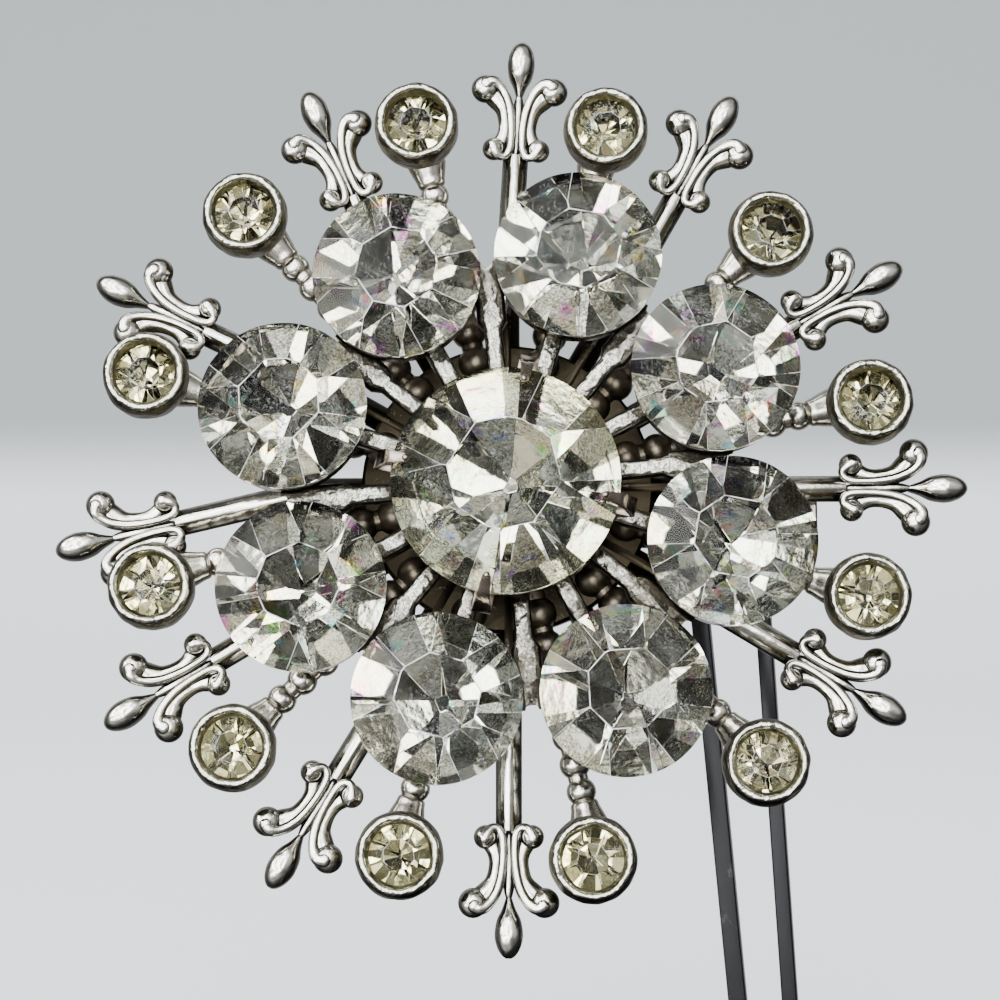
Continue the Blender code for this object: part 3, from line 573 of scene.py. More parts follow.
class Finish(Wiring):
    """A material under construction, on its Principled shader."""

    def __init__(self, name: str) -> None:
        """Start a material with a bare shader and coordinates in millimetres.

        Args:
            name: Its name.
        """
        self.material = bpy.data.materials.new(name)
        self.material.use_nodes = True
        super().__init__(self.material.node_tree)
        self.shader = self.add("ShaderNodeBsdfPrincipled")
        self.add("ShaderNodeOutputMaterial", i0=self.shader.outputs[0])
        where = self.add("ShaderNodeTexCoord").outputs["Object"]
        self.where = self.out("ShaderNodeMapping", Vector=where, Scale=(1000.0,) * 3)

    def noise(self, scale: float, detail: float = 2.0, rough: float = 0.5) -> object:
        """A noise value, with its scale in bumps for each millimetre."""
        return self.out("ShaderNodeTexNoise", Vector=self.where, Scale=scale, Detail=detail,
                        Roughness=rough)

    def patches(self, grain: Point, low: float, high: float, to_low: float = 0.0,
                to_high: float = 1.0) -> object:
        """Patches of noise between two levels."""
        return self.ramp(self.noise(*grain), low, high, to_low, to_high)

    def bump(self, height: object, strength: float, depth: float) -> object:
        """Bump from a height value, with its depth in millimetres."""
        return self.out("ShaderNodeBump", Strength=strength, Distance=depth * 0.001, Height=height)

    def made(self, **inputs: object) -> bpy.types.Material:
        """Finish the material.

        Args:
            **inputs: Values or outputs for the shader's inputs, by socket name with _ for a space.

        Returns:
            The material.
        """
        for key, value in inputs.items():
            self.feed(self.socket(self.shader, key), value)
        return self.material

    def face_place(self) -> object:
        """Find the place on the brooch's face.

        Returns:
            A socket with the millimetres from the hub, across and up the face.
        """
        moved = self.out("ShaderNodeVectorMath", {"operation": "SUBTRACT"}, i0=self.where,
                         i1=tuple(HUB_MM))
        place = self.out("ShaderNodeVectorRotate", {"rotation_type": "X_AXIS"}, Vector=moved,
                         Angle=-math.radians(90.0 - LEAN_DEG))
        return self.out("ShaderNodeVectorMath", {"operation": "MULTIPLY"}, i0=place,
                        i1=(1.0, 1.0, 0.0))


@dataclass(frozen=True)
class PlatedSilver:
    """Silver-tone plate, darkened by patina and by painted shade.

    The plate turns from bright to dark where the sum of its dark parts passes cover: recesses within
    reach millimetres (patina in the hollows and painted shade), patina mottle, painted shade round the
    hub under the crystals and bars (hub_painted_shade), on the lower right (low_right_painted_shade)
    and on the flanks, with some tarnish (flank_painted_shade). smooth and dull are the roughness of its
    bright and dark parts. wave, depth and pitted are the strength, depth and fine share of the dents.
    """

    name: str
    bright: Colour
    dark: Colour
    reach: float = 1.3
    cover: float = 0.5
    smooth: float = 0.16
    dull: float = 0.5
    wave: float = 0.35
    # Strengths of the painted shade round the hub, on the flanks and on the lower right
    hub_painted_shade: float = 0.0
    flank_painted_shade: float = 0.3
    low_right_painted_shade: float = 0.0
    mottle: float = 0.9
    pitted: float = 0.15
    depth: float = 0.08

    # Noises: bumps for each millimetre, detail, roughness
    CLOUD = (1.3, 5.0, 0.65)
    SPECK = (5.0, 4.0, 0.7)
    PITS = (3.2, 1.0)
    DENTS = (1.1, 1.0)
    # Ranges: open share of the surroundings, below which recesses darken with patina and painted shade,
    #     millimetres from the hub, millimetres towards the lower right, and how far a surface faces the
    #     viewer, on the back and on a flank, over which the painted shade comes in
    OPEN = (0.15, 0.95)
    INNER = (10.0, 21.0)
    LOW = (5.0, 11.0)
    LOW_WAY = (0.55, -0.83, 0.0)
    BACK = (-0.9, -0.5)
    BACK_SHARE = 0.3
    FLANK = (0.25, 0.85)
    BLEND = 0.5

    def make(self) -> bpy.types.Material:
        """Build the material.

        Returns:
            The material.
        """
        f = Finish(self.name)
        # Recesses darkened: patina in the hollows and painted shade; the noises add patina mottle.
        near = f.add("ShaderNodeAmbientOcclusion", {"samples": 2}, Distance=self.reach * 0.001)
        worn = f.ramp(near.outputs["AO"], *self.OPEN, 1.0, 0.0)
        for grain in (self.CLOUD, self.SPECK):
            worn = f.calc("MULTIPLY_ADD", f.calc("SUBTRACT", f.noise(*grain), 0.5), self.mottle, worn)
        flat = f.face_place()
        away = f.add("ShaderNodeVectorMath", {"operation": "LENGTH"}, i0=flat).outputs["Value"]
        facing = f.along(f.add("ShaderNodeNewGeometry").outputs["Normal"], tuple(FACE_WAY))
        # Painted shade round the hub, on the lower right and on flanks that turn from the face.
        inner = f.calc("MULTIPLY", f.ramp(away, *self.INNER, self.hub_painted_shade, 0.0),
                       f.ramp(facing, *self.BACK, self.BACK_SHARE, 1.0))
        low = f.ramp(f.along(flat, self.LOW_WAY), *self.LOW, 0.0, self.low_right_painted_shade)
        flank = f.ramp(f.calc("ABSOLUTE", facing), *self.FLANK, self.flank_painted_shade, 0.0)
        for part in (inner, low, flank):
            worn = f.calc("ADD", worn, part)
        # share turns the plate to its dark colour, which is patina and painted shade.
        share = f.ramp(worn, self.cover, self.cover + self.BLEND)
        height = f.calc("MULTIPLY_ADD", f.noise(*self.PITS), self.pitted, f.noise(*self.DENTS))
        return f.made(Base_Color=f.blend(share, self.bright, self.dark), Metallic=1.0,
                      Roughness=f.ramp(share, 0.0, 1.0, self.smooth, self.dull),
                      Normal=f.bump(height, self.wave, self.depth))


@dataclass(frozen=True)
class ClearGlass:
    """Polished glass, hazed and scratched in patches.

    haze and veil are the roughness and the loss of clearness of its worn patches, and shine is the
    strength of its mirror images.
    """

    name: str
    tint: Colour
    rim_tint: Colour
    index: float = 1.53
    haze: float = 0.05
    veil: float = 0.22
    shine: float = 0.15

    POLISH = 0.005
    # Worn patches: noise, and the levels between which they come in
    PATCH = ((0.40, 3.0, 0.6), 0.44, 0.60)
    SPECK = ((5.0, 5.0, 0.85), 0.53, 0.60)

    def make(self) -> bpy.types.Material:
        """Build the material.

        Returns:
            The material.
        """
        f = Finish(self.name)
        wear = f.calc("MULTIPLY", f.patches(*self.PATCH), f.patches(*self.SPECK))
        rim = f.add("ShaderNodeAttribute", {"attribute_name": "rim"}).outputs["Fac"]
        return f.made(Base_Color=f.blend(rim, self.tint, self.rim_tint), IOR=self.index,
                      Roughness=f.calc("MULTIPLY_ADD", wear, self.haze, self.POLISH),
                      Transmission_Weight=f.calc("MULTIPLY_ADD", wear, -self.veil, 1.0),
                      Specular_Tint=(self.shine, self.shine, self.shine, 1.0))


@dataclass(frozen=True)
class Foil:
    """Mirror foil on the back facets of a stone.

    It has stains where a cloud noise passes stained, grain up to grainy, and painted fire: coloured
    spots as strong as painted_fire, standing in for the colours that cut glass splits light into.
    """

    name: str
    bright: Colour
    stain: Colour
    stained: float = 0.62
    painted_fire: float = 0.25
    grainy: float = 0.8

    CLOUD = (0.5, 4.0, 0.65)
    CLOUD_EDGE = 0.18
    # Patches: noise, and the levels between which they come in
    GRAIN = ((5.0, 5.0, 0.85), 0.48, 0.55)
    FIELD = ((0.34, 2.0), 0.40, 0.52)
    # SPOTS, SHEEN and VIVID paint the fire: coloured spots of light in the foil's colour
    SPOTS = ((0.42, 1.0), 0.64, 0.70)
    SHEEN = {"Scale": 0.33, "Detail": 1.0}
    VIVID = {"Saturation": 2.6, "Value": 1.6}
    ROUGH = 0.04
    # Bump: noise, strength and depth
    WARP = (0.7, 2.0)
    WARPED = (0.12, 0.05)

    def make(self) -> bpy.types.Material:
        """Build the material.

        Returns:
            The material.
        """
        f = Finish(self.name)
        grain = f.calc("MULTIPLY", f.patches(*self.GRAIN), f.patches(*self.FIELD, 0.0, self.grainy))
        stains = f.patches(self.CLOUD, self.stained, self.stained + self.CLOUD_EDGE)
        share = f.calc("MAXIMUM", stains, grain)
        plain = f.blend(share, self.bright, self.stain)
        # Painted fire: vivid coloured spots in the foil's colour.
        sheen = f.add("ShaderNodeTexNoise", Vector=f.where, **self.SHEEN)
        vivid = f.out("ShaderNodeHueSaturation", Color=sheen.outputs["Color"], **self.VIVID)
        spots = f.patches(*self.SPOTS, 0.0, self.painted_fire)
        return f.made(Base_Color=f.blend(spots, plain, vivid), Roughness=self.ROUGH, Metallic=1.0,
                      Normal=f.bump(f.noise(*self.WARP), *self.WARPED))


@dataclass(frozen=True)
class WornEdge:
    """Facet edges rubbed white."""

    name: str
    tint: Colour
    clear: Colour = (0.8, 0.81, 0.8)
    index: float = 1.5

    # Rubbed patches: noise, and the levels between which they come in; then the roughness and the
    # clearness outside and inside them
    PATCH = ((0.9, 3.0, 0.6), 0.38, 0.56)
    ROUGH = (0.05, 0.5)
    CLEARNESS = (1.0, 0.25)

    def make(self) -> bpy.types.Material:
        """Build the material.

        Returns:
            The material.
        """
        f = Finish(self.name)
        worn = f.patches(*self.PATCH)
        return f.made(Base_Color=f.blend(worn, self.clear, self.tint), IOR=self.index,
                      Roughness=f.ramp(worn, 0.0, 1.0, *self.ROUGH),
                      Transmission_Weight=f.ramp(worn, 0.0, 1.0, *self.CLEARNESS))


@dataclass(frozen=True)
class BlackSteel:
    """Blackened steel with a satin surface and rubbed spots."""

    name: str
    dark: Colour
    rubbed: Colour

    # Noises, the share of the specks in the sum, and the levels between which it looks rubbed
    CLOUD = (0.35, 4.0, 0.6)
    SPECK = (6.0, 3.0, 0.6)
    SPECK_SHARE = 0.3
    RUBBED = (0.74, 0.96)
    ROUGH = (0.34, 0.5)
    METAL = 0.85
    BUMP = (0.15, 0.03)

    def make(self) -> bpy.types.Material:
        """Build the material.

        Returns:
            The material.
        """
        f = Finish(self.name)
        speck = f.noise(*self.SPECK)
        share = f.calc("MULTIPLY_ADD", speck, self.SPECK_SHARE, f.noise(*self.CLOUD))
        share = f.ramp(share, *self.RUBBED)
        return f.made(Base_Color=f.blend(share, self.dark, self.rubbed), Metallic=self.METAL,
                      Roughness=f.ramp(share, 0.0, 1.0, *self.ROUGH), Normal=f.bump(speck, *self.BUMP))


@dataclass(frozen=True)
class Backdrop:
    """Matt paper, pale towards the floor and darker up the wall by painted shade."""

    name: str
    low: Colour
    high: Colour

    # Heights between which the painted shade darkens it, in millimetres
    CHANGE = (46.0, 78.0)
    ROUGH = 0.9
    SHINE = 0.1

    def make(self) -> bpy.types.Material:
        """Build the material.

        Returns:
            The material.
        """
        f = Finish(self.name)
        # Painted shade: from the low colour near the floor to the darker high one up the wall.
        share = f.ramp(f.add("ShaderNodeSeparateXYZ", Vector=f.where).outputs["Z"], *self.CHANGE)
        return f.made(Base_Color=f.blend(share, self.low, self.high), Roughness=self.ROUGH,
                      Specular_IOR_Level=self.SHINE)


@dataclass
class LowerCasting:
    """Hub, ridged arms with fleurs, and beaded stems with bezel cups: the lower, darker casting."""

    shop: Workshop
    finish: bpy.types.Material
    bead_finish: bpy.types.Material
    bezel_finish: bpy.types.Material
    rise: float = 0.35
    hub_radius: float = 10.7
    hub_thickness: float = 1.2
    arm_start: float = 8.0
    arm_reach: float = 33.9
    arm_turn: float = 0.3
    arm_bend: float = 14.0
    broken_reach: float = 21.3
    fleur_length: float = 9.5
    stem_turn: float = 13.6
    bezel_reach: float = 27.25
    bezel_radius: float = 3.13
    beads: int = 7
    outer_bead: float = 2.15
    inner_bead: float = 2.72
    pitch_share: float = 0.9
    bead_height: float = 1.02
    bead_length: float = 0.97
    bead_gap: float = 0.85
    core_height: float = 1.0
    core_widths: tuple[float, float] = (0.85, 0.72)
    dent: float = 0.07
    dent_scale: float = 1.1
    dent_seed: int = 7

    # Steps round the hub, in degrees
    STEP_DEG = 30.0
    # Each arm anticlockwise from the right: sideways sway in degrees, share of the reach, has a fleur
    ARMS = ((-0.1, 0.995, True), (-0.3, 1.0, True), (0.1, 1.02, True), (-2.2, 1.015, True),
            (-3.8, 1.005, True), (2.4, 1.015, True), (7.7, 0.99, True), (0.5, 1.0, True),
            (-0.9, 0.99, True), (-0.2, 1.0, True), (0.0, 1.0, False), (-0.9, 0.985, True))
    # Each stem in turn: turn of its beads and of its bezel in degrees, share of the reach
    STEMS = ((0.6, -0.8, 0.99), (0.9, 0.3, 0.985), (1.2, 1.1, 1.01), (0.2, 0.5, 1.018),
             (-0.1, 0.4, 1.022), (-1.0, -0.4, 1.01), (0.9, 2.9, 0.98), (-0.1, 0.8, 1.005),
             (-0.5, 0.4, 1.02), (-0.2, -1.1, 1.015), (-1.1, -1.4, 1.0), (-0.7, -1.4, 0.995))
    # Section of an arm: across and height
    RIDGE = ((-0.95, 0.04), (-0.95, 0.40), (-0.80, 0.62), (-0.30, 1.20), (0.0, 1.27), (0.30, 1.20),
             (0.80, 0.62), (0.95, 0.40), (0.95, 0.04))
    # Fleur parts: back from the tip, to the side, half width
    SCROLL = ((3.7, 2.75, 0.62), (4.15, 2.05, 0.88), (4.61, 1.52, 0.90), (5.42, 1.02, 0.72),
              (6.51, 0.86, 0.58), (7.41, 0.92, 0.60), (8.2, 1.30, 0.66), (8.65, 1.70, 0.60))
    # Rib of a scroll: back from the tip, to the side, height, half width; it ends on top of the balls
    RIB = ((8.52, 1.72, 1.30, 0.46), (8.90, 1.52, 1.28, 0.42), (9.24, 1.14, 1.20, 0.33),
           (9.12, 0.72, 1.16, 0.28), (8.60, 0.48, 1.16, 0.28), (7.70, 0.42, 1.16, 0.30),
           (6.60, 0.46, 1.16, 0.31), (5.40, 0.66, 1.16, 0.33), (4.40, 1.05, 1.20, 0.36),
           (3.78, 1.52, 1.30, 0.41), (3.50, 2.02, 1.40, 0.47), (3.68, 2.44, 1.42, 0.50))
    # Bud: back from the tip, half width, height
    BUD = ((0.0, 0.20, 0.60), (0.20, 0.48, 1.05), (0.60, 0.76, 1.42), (1.20, 0.97, 1.64),
           (1.85, 1.02, 1.70), (2.75, 0.86, 1.52), (3.50, 0.50, 1.10), (4.30, 0.22, 0.75))
    # Middle of a fleur between its scrolls, and its balls: back from the tip, to the side, height, and
    # half sizes
    MIDDLE = ((-6.6, 0.0, 0.5), (2.6, 0.5, 0.45))
    BALLS = (((3.72, 2.47, 1.42), (0.55, 0.53, 0.46)), ((8.48, 1.74, 1.30), (0.50, 0.48, 0.42)),
             ((3.92, 2.55, 0.80), (1.08, 1.08, 0.95)), ((8.58, 1.66, 0.80), (0.87, 0.87, 0.84)))
    # Outside of a bezel cup up to its crest, and its inside down to its seat: radius and height
    CUP_OUT = ((2.1, 0.3), (2.55, 0.75), (2.95, 1.9), (3.12, 2.9), (3.12, 3.6), (3.06, 4.0),
               (2.95, 4.33), (2.80, 4.57), (2.63, 4.65), (2.47, 4.60), (2.33, 4.42), (2.22, 4.18))
    CUP_IN = ((2.14, 4.0), (2.18, 3.87), (2.42, 3.75), (2.46, 3.2), (0.5, 1.42), (0.3, 1.4))
    # Collar of a stem where it meets its cup: radius, and distance inwards
    COLLAR = ((1.45, -0.7), (1.22, 0.1), (1.06, 0.6), (0.98, 1.0), (0.72, 1.2), (0.70, 1.3))

    def arm_places(self, index: int) -> tuple[Matrix, Matrix, Matrix, float]:
        """Work out where an arm lies.

        Args:
            index: Its number.

        Returns:
            Places of its inner part, its bend and its outer part, and the outer part's length.
        """
        sway_deg, share, _ = self.ARMS[index]
        inner = spoke(self.arm_turn + self.STEP_DEG * index, rise=self.rise)
        sway = math.radians(sway_deg)
        reach = self.arm_reach * share
        bend = math.atan2(reach * math.sin(sway), reach * math.cos(sway) - self.arm_bend)
        at = Matrix.Translation((self.arm_bend, 0.0, 0.0))
        middle = inner @ at @ Matrix.Rotation(bend / 2.0, 4, "Z")
        outer = inner @ at @ Matrix.Rotation(bend, 4, "Z")
        return inner, middle, outer, reach - self.arm_bend

    def hub_and_arms(self) -> Shape:
        """Shape the hub disc and the ridged arms.

        Returns:
            The shape.
        """
        shape = Shape()
        edge = self.hub_radius
        top = self.hub_thickness
        shape.turn([(edge - 0.2, 0.0), (edge, 0.2), (edge, top - 0.25), (edge - 0.25, top)], 72,
                   spoke(0.0, rise=self.rise))
        for index, (_, _, has_fleur) in enumerate(self.ARMS):
            inner, middle, outer, length = self.arm_places(index)
            stations = [(inner, self.arm_start), (inner, self.arm_bend - 1.0), (middle, 0.0),
                        (outer, 1.0), (outer, length - self.fleur_length + 0.5)]
            if not has_fleur:
                stations = [(inner, self.arm_start), (inner, self.broken_reach)]
            shape.loft([[place @ Vector((x, y, z)) for y, z in self.RIDGE] for place, x in stations])
        return shape

    def fleur(self) -> bpy.types.Mesh:
        """Shape one fleur-de-lis along +x, with its tip at the origin.

        Returns:
            Its mesh.
        """
        shape = Shape()
        arch = [(math.cos(a), math.sin(a) ** 0.55) for a in (math.pi * i / 12 for i in range(13))]
        low = 0.05
        shape.loft([[(-back, half * y, low + (high - low) * z) for y, z in arch]
                    for back, half, high in smoothed(self.BUD, 4)])
        shape.ball(*self.MIDDLE)
        for side in (1.0, -1.0):
            scroll = [(-back, side * away, 0.55, half) for back, away, half in self.SCROLL]
            shape.take(self.shop.rod(scroll, self.finish, 28, 16, 0.8))
            rib = [(-back, side * away, high, half) for back, away, high, half in self.RIB]
            shape.take(self.shop.rod(rib, self.finish, 48, 14, 0.9))
            for (back, away, high), radii in self.BALLS:
                shape.ball((-back, side * away, high), radii)
        return shape.mesh("fleur")

    def bezel(self) -> bpy.types.Mesh:
        """One bezel cup with its flared foot, upright at the origin."""
        return Shape().turn(smoothed(self.CUP_OUT, 4) + list(self.CUP_IN), 72).mesh("bezel")

    def stem_parts(self) -> Shape:
        """Shape the beaded stems, with their cores and collars.

        Returns:
            The shape.
        """
        shape = Shape()
        lying = Matrix.Rotation(math.radians(-90.0), 4, "Y")
        for index, (beads_deg, _, share) in enumerate(self.STEMS):
            end = self.bezel_reach * share - self.bezel_radius
            place = spoke(self.stem_turn + beads_deg + self.STEP_DEG * index, rise=self.rise)
            sizes = {"Beads": self.beads, "First place": end - self.bead_gap,
                     "Outer size": self.outer_bead, "Inner size": self.inner_bead,
                     "Pitch share": self.pitch_share, "Height": self.bead_height,
                     "Length share": self.bead_length, "Finish": self.finish}
            shape.take(self.shop.beads.run(bpy.data.meshes.new("empty"), sizes), place)
            at = place @ Matrix.Translation((end, 0.0, self.bead_height))
            shape.turn(smoothed(self.COLLAR, 3), 28, at @ lying)
            ends = zip((self.arm_start, end - 1.0), self.core_widths)
            core = [(x, 0.0, self.core_height, half) for x, half in ends]
            shape.take(self.shop.rod(core, self.finish, 3, 14, 1.0), place)
        return shape

    def bezel_places(self, height: float) -> list[Matrix]:
        """Places of the bezel cups, or of what sits in them."""
        return [spoke(self.stem_turn + cup_deg + self.STEP_DEG * i, self.bezel_reach * share, height,
                      self.rise) for i, (_, cup_deg, share) in enumerate(self.STEMS)]

    def build(self) -> None:
        """Build the casting's pieces."""
        node = ["base_star"]
        arms = self.hub_and_arms().mesh("arms")
        self.shop.finish("lower_hub_and_arms", bevelled(arms, 0.06, angle_deg=50.0), [self.finish],
                         Slot.AGED_SILVER, node)
        tips = []
        for index, (_, _, has_fleur) in enumerate(self.ARMS):
            _, _, outer, length = self.arm_places(index)
            if has_fleur:
                tips.append(outer @ Matrix.Translation((length, 0.0, 0.0)))
        fleurs = self.shop.copies(self.fleur(), tips, self.finish)
        self.shop.finish("fleur_ends", fleurs, [self.finish], Slot.AGED_SILVER, node, sharp_deg=60.0)
        self.shop.finish("beaded_stems", self.stem_parts().mesh("stems"), [self.bead_finish],
                         Slot.AGED_SILVER, node, sharp_deg=50.0)
        cups = self.shop.copies(self.bezel(), self.bezel_places(0.0), self.bezel_finish)
        noise.seed_set(self.dent_seed)
        for vert in cups.vertices:
            vert.co += noise.noise_vector(vert.co * self.dent_scale) * self.dent
        self.shop.finish("bezel_cups", cups, [self.bezel_finish], Slot.AGED_SILVER, node,
                         sharp_deg=50.0)


@dataclass
class CutStone:
    """A round cut stone with an octagonal table, foiled behind."""

    shop: Workshop
    radius: float
    finishes: list[bpy.types.Material]
    table_share: float = 0.5
    culet_share: float = 0.08
    crown_deg: float = 31.0
    pavilion_deg: float = 42.0
    corner_deg: float = 8.5
    girdle: float = 0.35
    edge: float = 0.085
    back_edge: float = 0.05
    tilt_deg: float = 2.4
    seed: int = 1

    FACETS = 8
    SIDES = 120
    GLASS, FOIL, RUBBED, WALL = range(4)
    # Edges at a smaller angle aren't rubbed, and edges that run out past a share of the radius get
    # strips of a share of the width
    LEAST_DEG = 4.0
    OUTER = 0.8
    RADIAL = 0.4
    # Errors of a facet's direction and of the back facets' slope, in degrees
    TURN_ERROR = 1.8
    BACK_ERROR = 2.4
    # Share of the radius from which the rim's tint comes in
    RIM = 0.6
    SHARP_DEG = 3.4

    def cut(self, bm: bmesh.types.BMesh, spot: Vector, out: Vector, slot: int) -> None:
        """Grind a facet: cut away what lies beyond a plane and close the cut.

        Args:
            bm: The stone.
            spot: A point on the plane.
            out: The plane's direction.
            slot: Material slot of the facet.
        """
        whole = bm.verts[:] + bm.edges[:] + bm.faces[:]
        done = bmesh.ops.bisect_plane(bm, geom=whole, dist=1e-5, plane_co=spot, plane_no=out,
                                      clear_outer=True)
        lines = [part for part in done["geom_cut"] if isinstance(part, bmesh.types.BMEdge)]
        if len(lines) > 2:
            for facet in bmesh.ops.contextual_create(bm, geom=lines)["faces"]:
                facet.material_index = slot

    def tier(self, bm: bmesh.types.BMesh, chance: random.Random, turn_deg: float, slope_deg: float,
             reach: float, sign: float, slot: int, error_deg: float = 1.1) -> None:
        """Grind a ring of facets, each a little off its true place.

        Args:
            bm: The stone.
            chance: Source of the small errors.
            turn_deg: Direction of the first facet.
            slope_deg: Slope of the facets against the girdle's plane.
            reach: Distance from the axis at which they meet the girdle.
            sign: 1 on the crown and -1 on the back.
            slot: Material slot of the facets.
            error_deg: Greatest error of the slope.
        """
        for k in range(self.FACETS):
            way = turn_deg + k * 360.0 / self.FACETS + chance.uniform(-self.TURN_ERROR, self.TURN_ERROR)
            way = math.radians(way)
            slope = math.radians(slope_deg + chance.uniform(-error_deg, error_deg))
            flat = Vector((math.cos(way), math.sin(way), 0.0))
            out = flat * math.sin(slope) + Vector((0.0, 0.0, sign * math.cos(slope)))
            self.cut(bm, flat * reach + Vector((0.0, 0.0, sign * self.girdle / 2.0)), out, slot)

    def rub(self, bm: bmesh.types.BMesh) -> None:
        """Grind narrow strips along the edges between facets.

        Args:
            bm: The stone.
        """
        strips = []
        for line in bm.edges:
            slots = {face.material_index for face in line.link_faces}
            angle = line.calc_face_angle(0.0)
            if angle < math.radians(self.LEAST_DEG) or len(slots) != 1 or self.WALL in slots:
                continue
            back = self.FOIL in slots
            radial = max(vert.co.xy.length for vert in line.verts) > self.radius * self.OUTER
            width = self.back_edge if back else self.edge * (self.RADIAL if radial else 1.0)
            out = (line.link_faces[0].normal + line.link_faces[1].normal).normalized()
            middle = (line.verts[0].co + line.verts[1].co) / 2.0
            spot = middle - out * width / 2.0 * math.tan(angle / 2.0)
            strips.append((spot, out, self.FOIL if back else self.RUBBED))
        for spot, out, slot in strips:
            self.cut(bm, spot, out, slot)

    def mesh(self) -> bpy.types.Mesh:
        """Cut the stone, with its girdle's middle at the origin.

        Returns:
            A mesh whose slots are glass, foil and rubbed edge.
        """
        chance = random.Random(self.seed)
        step = 360.0 / self.FACETS
        half = self.girdle / 2.0
        crown = self.radius * (1.0 - self.table_share) * math.tan(math.radians(self.crown_deg))
        depth = self.radius * (1.0 - self.culet_share) * math.tan(math.radians(self.pavilion_deg))
        up = Vector((0.0, 0.0, 1.0))
        bm = bmesh.new()
        rim = bm.verts.layers.float.new("rim")
        bmesh.ops.create_cone(bm, cap_ends=True, segments=self.SIDES, radius1=self.radius,
                              radius2=self.radius, depth=4.0 * self.radius)
        for face in bm.faces:
            face.material_index = self.WALL
        self.cut(bm, up * (half + crown), up, self.GLASS)
        self.cut(bm, up * -(half + depth), -up, self.FOIL)
        for turn_deg, lag_deg in ((step / 2.0, step / 2.0 - self.corner_deg), (0.0, self.corner_deg)):
            near = math.cos(math.radians(lag_deg))
            inner = self.table_share * math.cos(math.radians(turn_deg))
            slope = math.degrees(math.atan2(crown / self.radius, near - inner))
            self.tier(bm, chance, turn_deg, slope, self.radius * near, 1.0, self.GLASS)
        back_turn = chance.uniform(8.0, step - 8.0)
        self.tier(bm, chance, back_turn, self.pavilion_deg, self.radius, -1.0, self.FOIL,
                  self.BACK_ERROR)
        bmesh.ops.recalc_face_normals(bm, faces=bm.faces)
        self.rub(bm)
        bmesh.ops.recalc_face_normals(bm, faces=bm.faces)
        for vert in bm.verts:
            out = (vert.co.xy.length / self.radius - self.RIM) / (1.0 - self.RIM)
            vert[rim] = max(0.0, min(1.0, out))
        for face in bm.faces:
            if face.material_index == self.WALL:
                face.material_index = self.GLASS
        tilt = Matrix()
        for axis in "XY":
            tilt_deg = chance.uniform(-self.tilt_deg, self.tilt_deg)
            tilt @= Matrix.Rotation(math.radians(tilt_deg), 4, axis)
        bm.transform(tilt)
        made = bpy.data.meshes.new("stone")
        bm.to_mesh(made)
        bm.free()
        return made

    def build(self, name: str, node: str, place: Matrix, slot: Slot) -> None:
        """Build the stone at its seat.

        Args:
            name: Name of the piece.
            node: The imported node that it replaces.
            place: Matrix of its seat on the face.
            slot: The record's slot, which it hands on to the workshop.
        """
        self.shop.finish(name, self.mesh(), self.finishes, slot, [node], FACE @ place,
                         sharp_deg=self.SHARP_DEG)


